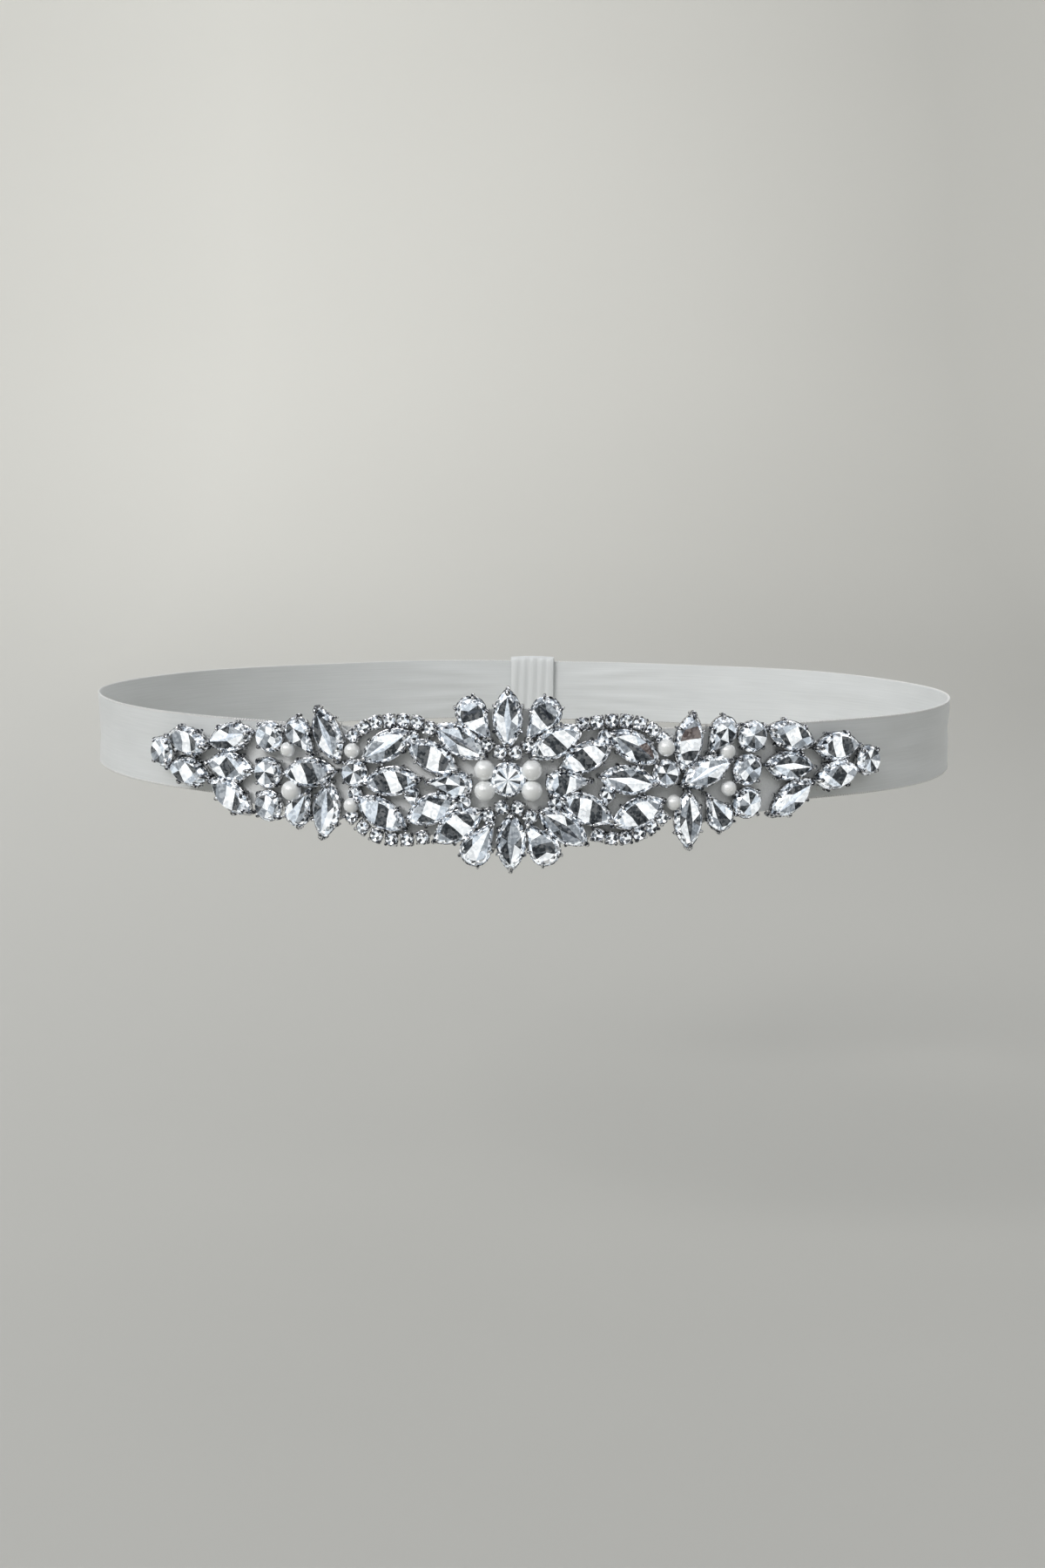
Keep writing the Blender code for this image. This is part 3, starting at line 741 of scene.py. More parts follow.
# %% [markdown]
# ## Cutting a stone
# A cut stone is a stack of rings that share one outline: the girdle, a break in the crown and the edge of
# the table. The middle ring is turned half a step, so the skin between them falls into triangles, which are
# the facets of the crown. Through the clear table the eye sees the slopes of the foiled back, so the table is
# split into slopes round a few inner points that are sunk a little.

# %% A stone's outline
DISC_POINTS = 97
LENS_SIDE_POINTS = 49
DROP_HEAD_POINTS = 80


def dense_outline(kind, length, width):
    """Many points round a stone, the first at its point or on +X. A drop's point is at -X."""
    if kind in ("disc", "rivoli"):
        angle = np.linspace(0, 2 * math.pi, DISC_POINTS)
        return np.stack((width / 2 * np.cos(angle), width / 2 * np.sin(angle)), -1)
    if kind == "lens":
        radius = (length * length + width * width) / (4 * width)
        angle = np.linspace(1, -1, LENS_SIDE_POINTS) * math.asin(length / 2 / radius)
        half = np.stack((radius * np.sin(angle), radius * np.cos(angle) - radius + width / 2), -1)
        return np.concatenate((half, -half[1:]))
    radius = width / 2
    centre = length / 2 - radius
    tangent = math.acos(radius / (centre + length / 2))
    angle = np.linspace(-math.pi + tangent, math.pi - tangent, DROP_HEAD_POINTS)
    head = np.stack((centre + radius * np.cos(angle), radius * np.sin(angle)), -1)
    tip = np.array([[-length / 2, 0.0]])
    return np.concatenate((tip, head, tip))


def outline_at(cut, shares):
    """Points on a cut's outline at shares of its length, from 0 to 1."""
    points = dense_outline(*cut)
    run = added_lengths(points)
    shares = np.asarray(shares) % 1 * run[-1]
    return np.stack([np.interp(shares, run, column) for column in points.T], -1)


def flat_turn(angle):
    """A turn in the XY plane, for points that are written as rows."""
    sine, cosine = math.sin(angle), math.cos(angle)
    return np.array(((cosine, sine, 0), (-sine, cosine, 0), (0, 0, 1)))


print("A navette is", round(np.ptp(dense_outline(*CUTS["navette"])[:, 0]) / MM, 1), "mm long")

# %% [markdown]
# ## Tones and tables
# A letter stands for a tone: white, pale, grey, charcoal or brown. A table lists its inner points, as shares
# of the stone's length and width, and then its slopes. In a slope a number is a corner of the table's edge,
# and a letter is an inner point. A long stone's table is split as a cross, as a blade from point to point, or
# as slabs that lie across it. A round one's is a cross or a square, and the centre stone's is a fan. The
# looks say how the stones that show most are split in the photograph, and give the tone of each slope.

# %% The facets of a stone
SEAT = 1.6 * MM
SMALL_HEIGHT = 0.72
Ring = namedtuple("Ring", "scale height shift")
CROWN = (Ring(0.97, 2.1, 0.0), Ring(0.88, 3.0, 0.5), Ring(0.71, 3.9, 0.0))
SUNK = 3.4
# Tones of painted reflection: the light and shade that each facet of a clear foiled stone shows.
PAINTED_REFLECTION_TONES = {
    "w": (0.96, 0.98, 1.0), "p": (0.70, 0.75, 0.81), "g": (0.39, 0.42, 0.46), "c": (0.045, 0.055, 0.07),
    "b": (0.17, 0.13, 0.125),
}
CHIPPED = 1.0
PLAIN = 0.35
CROWN_TONES = "wwwppggccc"
DISC_SIDES = 16
FAN_SIDES = 22
SIDES = {"lens": 16, "drop": 14, "disc": DISC_SIDES, "rivoli": FAN_SIDES}
Table = namedtuple("Table", "inner slopes tones")
TABLES = {
    "lens": {
        "cross": Table(((0.17, 0.0), (-0.17, 0.0)), (
            (1, 2, 3, 4, "a"), (4, "b", "a"), (4, 5, 6, 7, "b"), (7, 8, 9, "b"),
            (9, 10, 11, 12, "b"), (12, "a", "b"), (12, 13, 14, 15, "a"), (15, 0, 1, "a"),
        ), ("wcgwpcwg", "cwpgcwgp", "gcwcpgcw")),
        "blade": Table(((0.03, 0.11), (-0.03, -0.12)), (
            (0, "a", 8, "b"), (0, 1, 2, 3, "a"), (3, 4, 5, "a"), (5, 6, 7, 8, "a"),
            (8, 9, 10, 11, "b"), (11, 12, 13, "b"), (13, 14, 15, 0, "b"),
        ), ("pccwgcw", "cgwpcwg", "wcgcpgc")),
        "slabs": Table(((0.05, 0.02), (-0.13, -0.02)), (
            (0, 1, 2, 15), (2, 3, 4, "a", 13, 14, 15), (4, 5, 6, "b", 11, 12, 13, "a"),
            (6, 7, 9, 10, 11, "b"), (7, 8, 9),
        ), ("gcwcp", "wcgwc", "cgwcg")),
    },
    "drop": {
        "cross": Table(((0.24, 0.0), (-0.06, 0.0)), (
            (13, 0, 1, "b"), (1, 2, 3, "b"), (3, "a", "b"), (3, 4, 5, "a"), (5, 6, 7, "a"),
            (7, 8, 9, "a"), (9, 10, 11, "a"), (11, "b", "a"), (11, 12, 13, "b"),
        ), ("gcwcpgwcp", "wgcpwcgwc")),
        "blade": Table(((0.16, 0.14), (0.12, -0.16)), (
            (0, "b", 6, 7, 8, "a"), (0, 1, 2, 3, "b"), (3, 4, 5, 6, "b"),
            (8, 9, 10, 11, "a"), (11, 12, 13, 0, "a"),
        ), ("cwgwp", "pcwgc")),
        "slabs": Table(((0.02, 0.0), (0.22, 0.02)), (
            (13, 0, 1, 2, 12), (12, 2, 3, "a", 10, 11), (10, "a", 3, 4, 5, "b", 8, 9), (8, "b", 5, 6, 7),
        ), ("gwcp", "wcgw")),
    },
    "disc": {
        "cross": Table(((0.05, 0.03),), [
            (k, k + 1, (k + 2) % DISC_SIDES, "a") for k in range(0, DISC_SIDES, 2)
        ], ("wcgpcwgc", "gcwcpgwc")),
        "square": Table(((0.14, 0.0), (0.0, 0.14), (-0.14, 0.0), (0.0, -0.14)), (
            ("a", "b", "c", "d"), (15, 0, 1, "a"), (1, 2, 3, "b", "a"), (3, 4, 5, "b"), (5, 6, 7, "c", "b"),
            (7, 8, 9, "c"), (9, 10, 11, "d", "c"), (11, 12, 13, "d"), (13, 14, 15, "a", "d"),
        ), ("gwcpwcgcw", "wcgwpgwcg", "cgwcpwgwc")),
    },
    "rivoli": {
        "fan": Table(((0.0, 0.0),), [
            (k, (k + 1) % FAN_SIDES, "a") for k in range(FAN_SIDES)
        ], ("wpcwwgwpcwwgwpwcwwgwpc",)),
    },
}
Look = namedtuple("Look", "name group split tones")
LOOKS = {(look.group, look.name): (look.split, look.tones) for look in (Look(*row) for row in (
    ("flower_top", "left", "blade", "pccwgcc"), ("flower_top", "right", "slabs", "gbwcw"),
    ("flower_side", "left", "slabs", "cwcgg"), ("flower_side", "right", "blade", "pgwpgcw"),
    ("flower_bottom", "left", "blade", "pwwcgcg"), ("flower_bottom", "right", "blade", "cgcwgcw"),
    ("fan_outer_upper", "left", "blade", "pgccwwg"), ("fan_outer_upper", "right", "blade", "cbpwgwc"),
    ("fan_outer_middle", "left", "slabs", "gcwcp"), ("fan_outer_middle", "right", "blade", "wcgcgcw"),
    ("fan_outer_lower", "left", "slabs", "wpcwg"), ("fan_outer_lower", "right", "slabs", "gwcwp"),
    ("fan_inner_upper", "left", "blade", "cpgwgcp"), ("fan_inner_upper", "right", "slabs", "gwcwc"),
    ("fan_inner_lower", "left", "slabs", "gcwcw"), ("fan_inner_lower", "right", "blade", "cgcwgcg"),
    ("fan_inner_high", "left", "slabs", "gcwcg"), ("fan_inner_high", "right", "slabs", "cwcwp"),
    ("row_upper", "left", "square", "gcwgpwgcw"), ("row_upper", "right", "cross", "pwgcgwcg"),
    ("row_middle", "left", "cross", "wpcwgcwg"), ("row_middle", "right", "square", "pgwcgpcwg"),
    ("row_lower", "left", "square", "wcgwpgwcg"), ("row_lower", "right", "cross", "wwpcwgcp"),
    ("petal_top_left", "middle", "slabs", "gwcp"), ("petal_low_left", "middle", "blade", "wpcpg"),
    ("petal_top", "middle", "blade", "pcwwgwc"), ("petal_low", "middle", "blade", "gwcgcgc"),
    ("petal_top_right", "middle", "slabs", "gwcg"), ("petal_low_right", "middle", "slabs", "wgcw"),
))}


def stone_facets(cut, scale_height, chance, look=None):
    """Points, facets and tones of one stone, its long way on X and its seat at nought."""
    count = SIDES[cut.outline]
    tables = TABLES[cut.outline]
    name, letters = look or (chance.choice(sorted(tables)), None)
    table = tables[name]
    letters = letters or chance.choice(table.tones)
    points, facets, tones = [], [], []
    for ring in CROWN:
        flat = outline_at(cut, (np.arange(count) + ring.shift) / count)
        points += [(x * ring.scale, y * ring.scale, ring.height * MM * scale_height) for x, y in flat]
    points += [(x * cut.length, y * cut.width, SUNK * MM * scale_height) for x, y in table.inner]
    turn = chance.uniform(0, 2 * math.pi) if cut.outline == "disc" else 0.0
    for i in range(count):
        j = (i + 1) % count
        facets += [(i, j, count + i), (count + i, j, count + j)]
        facets += [(count + i, 2 * count + j, 2 * count + i), (count + i, count + j, 2 * count + j)]
        tones += [(*PAINTED_REFLECTION_TONES[chance.choice(CROWN_TONES)], CHIPPED) for _ in range(4)]
    inner = {letter: 3 * count + k for k, letter in enumerate("abcd")}
    for slope, letter in zip(table.slopes, letters):
        facets.append(tuple(inner[n] if n in inner else 2 * count + n for n in slope))
        tones.append((*PAINTED_REFLECTION_TONES[letter], PLAIN))
    facets.append(tuple(range(count))[::-1])
    tones.append((*PAINTED_REFLECTION_TONES["g"], PLAIN))
    return np.array(points) @ flat_turn(turn), facets, tones


example = stone_facets(CUTS["navette"], 1, random.Random(1))
print("A navette has", len(example[1]), "facets")

# %% [markdown]
# ## Setting the stones
# All the stones of a side go into one mesh. Those that show most have the looks set above, and a seeded
# chance picks the rest, so they differ from each other but are the same in each run. The cup under each stone
# is the same outline again, as a low wall that stands a little outside the girdle.

# %% Gather meshes into one piece
BARE = (1.0, 1.0, 1.0, 0.0)
CUP_SMOOTHING = 45
WIRE_SMOOTHING = 60
PEARL_SMOOTHING = 180


class Tray:
    """Collects the points, faces and face tones of many small things, and makes one object of them."""

    def __init__(self):
        self.points, self.faces, self.tones, self.count = [], [], [], 0

    def put(self, points, faces, tones=None):
        self.points.append(points)
        self.faces += [tuple(self.count + i for i in face) for face in faces]
        self.tones += tones or [BARE] * len(faces)
        self.count += len(points)

    def make(self, name, finish, smooth_angle=None):
        mesh = bpy.data.meshes.new(name)
        mesh.from_pydata(np.concatenate(self.points).tolist(), [], self.faces)
        # This colour attribute holds each crystal facet's painted reflection tone; other things get a blank
        # white.
        tone = mesh.attributes.new("tone", "FLOAT_COLOR", "CORNER")
        per_corner = [self.tones[face.index] for face in mesh.polygons for _ in face.loop_indices]
        tone.data.foreach_set("color", np.array(per_corner, np.float32).ravel())
        mesh.materials.append(finish)
        if smooth_angle is not None:
            mesh.shade_smooth()
            mesh.set_sharp_from_angle(angle=math.radians(smooth_angle))
        return add_object(name, mesh)


def stone_axes(stone):
    """A stone's place on the ribbon's outer face, its long way, its cross way and the way out."""
    point, side, out = ring_frame(stone.along * MM)
    turn = math.radians(stone.turn)
    long_way = side * stone.outward * math.cos(turn) + np.array((0, 0, math.sin(turn)))
    return point + np.array((0, 0, stone.up * MM)), long_way, np.cross(out, long_way), out


def settle(local, stone):
    """Move points from a stone's own axes, with the seat at nought, to the ribbon."""
    origin, long_way, cross_way, out = stone_axes(stone)
    return origin + local[:, :1] * long_way + local[:, 1:2] * cross_way + (local[:, 2:] + SEAT) * out


def height_scale(stone):
    return SMALL_HEIGHT if stone.group == "small" else 1.0


print("Stones sit", SEAT / MM, "mm out from the ribbon")

# %% Crystals
chance = random.Random(41)
trays = {"left": Tray(), "right": Tray(), "centre": Tray()}
for stone in stones:
    side = stone.group if stone.group in ("left", "right") else "centre"
    look = LOOKS.get((stone.group, stone.name))
    points, facets, tones = stone_facets(CUTS[stone.cut], height_scale(stone), chance, look)
    trays[side].put(settle(points, stone), facets, tones)
for side, tray in trays.items():
    piece = tray.make("crystals_" + side, crystal)
    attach(piece, "root")
    if side == "centre":
        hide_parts("centre_cluster", "petals_top", "petals_bottom")
    else:
        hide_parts(*[name for name in NODES if name.startswith("stone_" + side)])
    report(piece)

# %% Cups
CupRing = namedtuple("CupRing", "scale height")
CUP = [CupRing(*row) for row in (
    (0.78, 0.0), (0.95, 0.8), (0.99, 1.9), (0.99, 2.2), (0.96, 2.25), (0.94, 2.0),
)]
CUP_SIDES = 24


def tube_faces(levels, sides):
    """The faces of a stack of rings, with both ends closed."""
    faces = []
    for low in range(0, (levels - 1) * sides, sides):
        for k in range(sides):
            n = (k + 1) % sides
            faces.append((low + k, low + n, low + sides + n, low + sides + k))
    faces.append(tuple(range(sides))[::-1])
    faces.append(tuple((levels - 1) * sides + k for k in range(sides)))
    return faces


def cup_skin(rings, cut, sides, scale_height):
    """A cup's points and faces: the outline of a cut once for each ring, scaled and lifted."""
    flat = outline_at(cut, np.arange(sides) / sides)
    points = [
        (x * ring.scale, y * ring.scale, ring.height * MM * scale_height) for ring in rings for x, y in flat
    ]
    return np.array(points), tube_faces(len(rings), sides)


cup_tray = Tray()
for stone in stones:
    points, faces = cup_skin(CUP, CUTS[stone.cut], CUP_SIDES, height_scale(stone))
    cup_tray.put(settle(points, stone), faces)
cups = cup_tray.make("cups", silver, CUP_SMOOTHING)
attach(cups, "root")
report(cups)

# %% [markdown]
# ## Small things that repeat
# Claws, the cups of the chain, stitches and the woven edge are all one small thing many times over, so
# Geometry Nodes set them out. The points or the path carry two directions as attributes: "outward", away from
# the body, and "way", which a thing on a path takes from the path itself. Each copy is turned to both. The
# tree ends by making the copies real and giving them their finish, because copies that aren't real are lost
# in an export.

# %% A tree that sets things out
SOCKETS = {
    "Thing": "NodeSocketObject", "Finish": "NodeSocketMaterial", "Spacing": "NodeSocketFloat",
    "Free turn": "NodeSocketFloat", "Seed": "NodeSocketInt",
}


def setting_out_tree(name, on_path):
    tree = bpy.data.node_groups.new(name, "GeometryNodeTree")
    tree.interface.new_socket("Geometry", in_out="INPUT", socket_type="NodeSocketGeometry")
    for label, kind in SOCKETS.items():
        tree.interface.new_socket(label, in_out="INPUT", socket_type=kind)
    tree.interface.new_socket("Geometry", in_out="OUTPUT", socket_type="NodeSocketGeometry")
    desk = Desk(tree)
    given = desk.add("NodeGroupInput")
    outward = desk.add("GeometryNodeInputNamedAttribute", {"data_type": "FLOAT_VECTOR"}, {"Name": "outward"})
    size = desk.add("GeometryNodeInputNamedAttribute", {"data_type": "FLOAT"}, {"Name": "size"})
    if on_path:
        curve = desk.add("GeometryNodeMeshToCurve", None, {"Mesh": given.out("Geometry")})
        points = desk.add(
            "GeometryNodeResampleCurve", {"mode": "LENGTH"}, {"Curve": curve, "Length": given.out("Spacing")},
        )
        way = desk.add("GeometryNodeInputTangent")
    else:
        points = given.out("Geometry")
        way = desk.add("GeometryNodeInputNamedAttribute", {"data_type": "FLOAT_VECTOR"}, {"Name": "way"})
    stand = desk.add("FunctionNodeAlignRotationToVector", {"axis": "Z"}, {"Vector": outward})
    faced = desk.add(
        "FunctionNodeAlignRotationToVector", {"axis": "X", "pivot_axis": "Z"},
        {"Rotation": stand, "Vector": way},
    )
    free = desk.add(
        "FunctionNodeRandomValue", {"data_type": "FLOAT"},
        {2: 0.0, 3: given.out("Free turn"), 8: given.out("Seed")},
    )
    spin = desk.add("FunctionNodeAxisAngleToRotation", None, {"Axis": (0.0, 0.0, 1.0), "Angle": free})
    turned = desk.add(
        "FunctionNodeRotateRotation", {"rotation_space": "LOCAL"}, {"Rotation": faced, "Rotate By": spin},
    )
    thing = desk.add("GeometryNodeObjectInfo", None, {"Object": given.out("Thing")}).out("Geometry")
    copies = desk.add(
        "GeometryNodeInstanceOnPoints", None,
        {"Points": points, "Instance": thing, "Rotation": turned, "Scale": size},
    )
    real = desk.add("GeometryNodeRealizeInstances", None, {"Geometry": copies})
    dressed = desk.add("GeometryNodeSetMaterial", None, {"Geometry": real, "Material": given.out("Finish")})
    desk.add("NodeGroupOutput", None, {"Geometry": dressed})
    return tree


ON_POINTS = setting_out_tree("set out on points", False)
ON_PATH = setting_out_tree("set out along a path", True)
print("The path tree has", len(ON_PATH.nodes), "nodes")

# %% Run a tree and keep its mesh


def set_out(name, tree, base, thing, finish, spacing=1 * MM, free_turn=0.0, seed=7):
    """Copies a small thing over a mesh's points or along its edges, and keeps the result as a plain mesh."""
    carrier = add_object(name + "_carrier", base)
    modifier = carrier.modifiers.new("Set out", "NODES")
    modifier.node_group = tree
    values = {"Thing": thing, "Finish": finish, "Spacing": spacing, "Free turn": free_turn, "Seed": seed}
    for socket in tree.interface.items_tree:
        if socket.in_out == "INPUT" and socket.name in values:
            modifier[socket.identifier] = values[socket.name]
    depsgraph = bpy.context.evaluated_depsgraph_get()
    mesh = bpy.data.meshes.new_from_object(carrier.evaluated_get(depsgraph), depsgraph=depsgraph)
    mesh.name = name
    piece = add_object(name, mesh)
    bpy.data.objects.remove(carrier)
    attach(piece, "root")
    return piece


def carrier_mesh(name, points, outward, way=None, size=None, closed=False, path=False):
    """Points, or a path through them, with the directions that the tree reads."""
    count = len(points)
    edges = [(i, i + 1) for i in range(count - 1)] if path else []
    if closed:
        edges.append((count - 1, 0))
    mesh = bpy.data.meshes.new(name)
    mesh.from_pydata([tuple(p) for p in points], edges, [])
    for label, directions in (("outward", outward), ("way", way)):
        if directions is not None:
            layer = mesh.attributes.new(label, "FLOAT_VECTOR", "POINT")
            layer.data.foreach_set("vector", np.array(directions, np.float32).ravel())
    sizes = np.ones(count, np.float32) if size is None else np.array(size, np.float32)
    mesh.attributes.new("size", "FLOAT", "POINT").data.foreach_set("value", sizes)
    return mesh


def wire_skin(path, radii, sides=6):
    """A bent wire in the XZ plane, in millimetres: its points and faces, with both ends closed."""
    path, points = np.array(path, float), []
    for i, radius in enumerate(radii):
        before, after = path[max(i - 1, 0)], path[min(i + 1, len(path) - 1)]
        dx, dz = (after - before) / np.linalg.norm(after - before)
        for k in range(sides):
            angle = 2 * math.pi * k / sides
            across, deep = radius * math.cos(angle), radius * math.sin(angle)
            points.append(((path[i][0] - dz * across) * MM, deep * MM, (path[i][1] + dx * across) * MM))
    return np.array(points), tube_faces(len(radii), sides)


def small_thing(name, points, faces, finish):
    """One small wire thing, to be copied."""
    tray = Tray()
    tray.put(points, faces)
    return tray.make(name, finish, WIRE_SMOOTHING)


print("Ready to set out small things")

# %% [markdown]
# ## Claws
# A claw is a short silver wire that rises from the cup and bends over the stone's edge. Each stone's outline
# says where they stand: a navette has one at each point and two on each side, a pear five, a round four and
# the centre stone two. Those at a point are larger and stand a little further in.

# %% Claws
CLAW_SHARES = {
    "lens": (0.0, 0.16, 0.34, 0.5, 0.66, 0.84), "drop": (0.0, 0.24, 0.41, 0.59, 0.76),
    "disc": (0.12, 0.37, 0.62, 0.87), "rivoli": (0.25, 0.75),
}
CLAW_SIDES = 7
CLAW_HEIGHT = 2.1 * MM
SMALL_CLAW = 0.6
TIP_CLAW = 1.5
TIP_INSET = 0.7 * MM
LENS_INNER_SHARE = 0.7
CLAW_PATH = ((-0.05, -1.7), (-0.22, -0.4), (-0.16, 0.5), (0.18, 1.12), (0.62, 1.42), (0.86, 1.44))
CLAW_RADII = (0.40, 0.42, 0.42, 0.42, 0.36, 0.20)

claw = small_thing("claw", *wire_skin(CLAW_PATH, CLAW_RADII, CLAW_SIDES), silver)

places, outwards, ways, sizes = [], [], [], []
for stone in stones:
    cut = CUTS[stone.cut]
    origin, long_way, cross_way, out = stone_axes(stone)
    rim = outline_at(cut, CLAW_SHARES[cut.outline])
    for share, (x, y) in zip(CLAW_SHARES[cut.outline], rim):
        inner = np.array((x * LENS_INNER_SHARE if cut.outline == "lens" else 0.0, 0.0))
        step = inner - (x, y)
        step /= np.linalg.norm(step)
        at_tip = cut.outline == "lens" and share in (0.0, 0.5) or cut.outline == "drop" and share == 0.0
        if at_tip:
            x -= math.copysign(TIP_INSET, x)
        lift = SEAT + CLAW_HEIGHT * height_scale(stone)
        places.append(origin + long_way * x + cross_way * y + out * lift)
        outwards.append(out)
        ways.append(long_way * step[0] + cross_way * step[1])
        sizes.append(SMALL_CLAW if stone.group == "small" else TIP_CLAW if at_tip else 1.0)
claws = set_out("claws", ON_POINTS, carrier_mesh("claw_points", places, outwards, ways, sizes), claw, silver)
print(len(places), "claws with", len(claws.data.polygons), "faces")

# %% [markdown]
# ## Cup chain
# Cup chain is a row of small round cups, each with four claws and one stone, sold by length. Four arcs of it
# frame the fans, and two short ones lie over and under the centre stone. The cup and its stone are set out
# along the same paths, and each stone gets a free turn, so that the row sparkles unevenly as in the
# photograph.

# %% The chain's cup and stone
CHAIN_CUT = Cut("disc", 2 * MM, 2 * MM)
CHAIN_CUP = [CupRing(*row) for row in ((1.5, 0.0), (1.8, 0.5), (1.9, 1.5), (1.65, 1.6))]
CHAIN_CLAW = ((1.8, 0.5), (1.95, 1.6), (1.75, 2.3), (1.2, 2.7))
CHAIN_CLAW_RADII = (0.30, 0.44, 0.50, 0.32)
CHAIN_SIDES = 12
GEM_CUT = Cut("disc", 3.3 * MM, 3.3 * MM)
GEM_LOOK = ("square", "wcwpcwgwc")
GEM_HEIGHT = 0.52
GEM_LIFT = (0, 0, 0.45 * MM)

chain_tray = Tray()
chain_tray.put(*cup_skin(CHAIN_CUP, CHAIN_CUT, CHAIN_SIDES, 1))
claw_points, claw_faces = wire_skin(CHAIN_CLAW, CHAIN_CLAW_RADII)
for quarter in range(4):
    chain_tray.put(claw_points @ flat_turn(math.pi / 4 + quarter * math.pi / 2), claw_faces)
chain_cup = chain_tray.make("chain_cup", silver, CUP_SMOOTHING)

gem_tray = Tray()
gem_points, gem_facets, gem_tones = stone_facets(GEM_CUT, GEM_HEIGHT, random.Random(5), GEM_LOOK)
gem_tray.put(gem_points + np.array(GEM_LIFT), gem_facets, gem_tones)
chain_gem = gem_tray.make("chain_gem", crystal)
print("A cup has", len(chain_cup.data.polygons), "faces and its stone", len(chain_gem.data.polygons))

# %% The arcs of chain
ChainPoint = namedtuple("ChainPoint", "along up")
CHAINS = {arc: [ChainPoint(*row) for row in rows] for arc, rows in {
    "top": ((-5.4, 6.7), (-3.0, 4.9), (-0.4, 4.2), (2.4, 4.8), (4.8, 6.5)),
    "bottom": ((-5.2, -11.4), (-2.6, -9.5), (0.3, -8.9), (3.0, -9.6), (5.4, -11.6)),
    "left_upper": ((-39.4, 7.8), (-36.6, 10.2), (-32.4, 11.9), (-27, 12.2), (-22, 11.7), (-19.6, 10.4)),
    "left_lower": ((-40, -12.8), (-37.4, -15.4), (-33.4, -17.6), (-28.6, -18.4), (-24, -18), (-21.6, -17.5)),
    "right_upper": ((18, 11.8), (22.4, 12.4), (27, 12.8), (31.4, 12.3), (35.4, 10.4), (38.2, 7.8)),
    "right_lower": ((22, -16.4), (25.6, -17.2), (30, -17.2), (34.8, -15.4), (38.2, -12.2)),
}.items()}
CHAIN_PITCH = 3.55 * MM
ARC_STEPS = 40


def arc_carrier(name, table):
    points = np.array(table, float)
    run = added_lengths(points)
    along, up = (np.interp(np.linspace(0, run[-1], ARC_STEPS), run, column) * MM for column in points.T)
    return carrier_mesh(name, ring_place(along, up, SEAT), ring_frame(along)[2], path=True)


def join_pieces(name, pieces):
    """Put the meshes of several pieces into the first one."""
    builder = bmesh.new()
    for piece in pieces:
        builder.from_mesh(piece.data)
    builder.to_mesh(pieces[0].data)
    builder.free()
    for piece in pieces[1:]:
        bpy.data.objects.remove(piece)
    pieces[0].name = name
    pieces[0].data.name = name
    return pieces[0]


arc_cups, arc_gems = [], []
for order, (arc, table) in enumerate(CHAINS.items()):
    path = arc_carrier("arc_" + arc, table)
    arc_cups.append(set_out("cups_" + arc, ON_PATH, path, chain_cup, silver, CHAIN_PITCH))
    arc_gems.append(set_out("gems_" + arc, ON_PATH, path, chain_gem, crystal, CHAIN_PITCH, math.pi, order))
chain_cups = join_pieces("chain_cups", arc_cups)
chain_gems = join_pieces("chain_gems", arc_gems)
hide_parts(*[name for name in NODES if name.startswith("chain_")])
print("The chain's cups have", len(chain_cups.data.polygons), "faces")

# %% [markdown]
# ## Pearls
# Four pearls touch the centre stone, and smaller ones fill the flowers. They are round beads, sewn down
# through their hole, and sit on their thread a little over the felt, between the rims of the stones.

# %% The pearls
Bead = namedtuple("Bead", "along up diameter")
BEADS = [Bead(*row) for row in (
    (-6.0, 0.4, 5.3), (-5.9, -4.9, 5.3), (5.6, 0.4, 5.3), (5.6, -4.8, 5.3), (-57, 3.6, 4.0),
    (-55.9, -6.9, 5.2), (-39.5, 4.2, 4.0), (-39.8, -9.8, 4.0), (54.8, 4.4, 4.2), (55.4, -5.2, 4.0),
    (38.8, 5.8, 4.5), (41.0, -8.3, 4.0),
)]
PEARL_LIFT = 0.3 * MM
PEARL_SEGMENTS = 32
PEARL_RINGS = 20
pearl_tray = Tray()
for bead in BEADS:
    builder = bmesh.new()
    radius = bead.diameter * MM / 2
    bmesh.ops.create_uvsphere(builder, u_segments=PEARL_SEGMENTS, v_segments=PEARL_RINGS, radius=radius)
    centre = ring_place(bead.along * MM, bead.up * MM, SEAT + radius + PEARL_LIFT)
    points = np.array([tuple(vertex.co) for vertex in builder.verts]) + centre
    pearl_tray.put(points, [tuple(v.index for v in face.verts) for face in builder.faces])
    builder.free()
pearls = pearl_tray.make("pearls", pearl, PEARL_SMOOTHING)
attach(pearls, "root")
print(len(BEADS), "pearls")

# %% [markdown]
# ## Stitches and the woven edge
# The felt is sewn down with short stitches over its edge. The ribbon's own edge is woven thicker than its
# middle, which shows as a row of tiny ribs. Both run along a path, so the path tree sets them out.

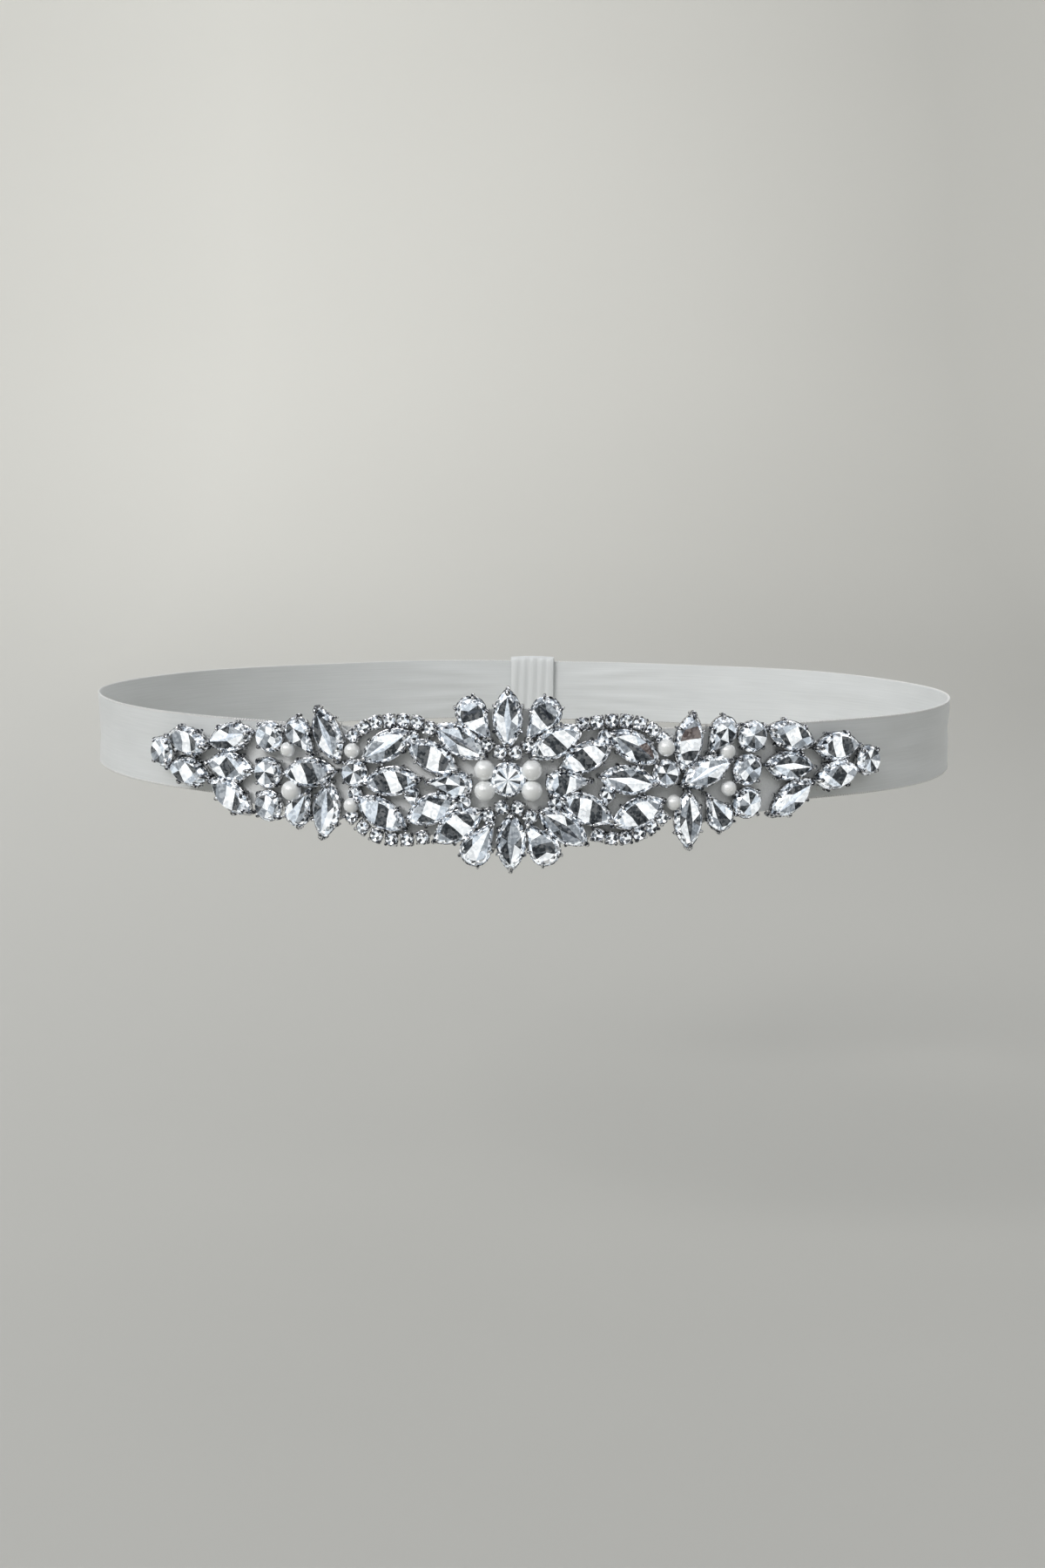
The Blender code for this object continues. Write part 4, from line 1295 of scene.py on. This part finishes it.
# %% Stitches round the felt
STITCH_PATH = ((-1.2, 0.42), (-0.5, 0.62), (0.25, 0.42), (0.4, -0.1), (0.1, -0.5))
STITCH_RADII = (0.12, 0.18, 0.18, 0.18, 0.12)
STITCH_SPACING = 2.4 * MM
STITCH_SLANT = 0.3
STITCH_STEPS = 400
STITCHED_HALF_MM = 99
stitch_points, stitch_faces = wire_skin(STITCH_PATH, STITCH_RADII)


def stitch_thing(name, side):
    """A stitch, a little on the slant. Its long end points down with side 1, and up with side -1."""
    x, y, z = stitch_points.T
    turned = np.stack((STITCH_SLANT * x + y, side * x, z), -1)
    faces = [face[::-1] for face in stitch_faces] if side == 1 else stitch_faces
    return small_thing(name, turned, faces, thread)


felt_run = np.linspace(-STITCHED_HALF_MM, STITCHED_HALF_MM, STITCH_STEPS) * MM
stitch_rows = []
for name, side, edge in (("upper", -1, "top"), ("lower", 1, "bottom")):
    path_points = ring_place(felt_run, felt_edge(felt_run, edge), FELT_OUT)
    path = carrier_mesh("felt_" + name, path_points, ring_frame(felt_run)[2], path=True)
    thing = stitch_thing("stitch_" + name, side)
    stitch_rows.append(set_out("stitches_" + name, ON_PATH, path, thing, thread, STITCH_SPACING))
    bpy.data.objects.remove(thing)
stitches = join_pieces("stitches", stitch_rows)
print("The stitches have", len(stitches.data.polygons), "faces")

# %% The ribbon's woven edge
RIB_PATH = ((-0.34, 0.0), (-0.2, 0.1), (0.2, 0.1), (0.34, 0.0))
RIB_RADII = (0.10, 0.34, 0.34, 0.10)
RIB_SPACING = 0.85 * MM
rib = small_thing("rib", *wire_skin(RIB_PATH, RIB_RADII), thread)
edge_rows = []
for name, column in (("upper", 0), ("lower", -1)):
    path_points = band_grid[:, column]
    path = carrier_mesh("edge_" + name, path_points, ring_frame(band_along[:, 0])[2], closed=True, path=True)
    edge_rows.append(set_out("edge_" + name, ON_PATH, path, rib, thread, RIB_SPACING))
woven_edge = join_pieces("woven_edge", edge_rows)
print("The woven edge has", len(woven_edge.data.polygons), "faces")

# %% Finish
for thing in (claw, chain_cup, chain_gem, rib):
    bpy.data.objects.remove(thing)
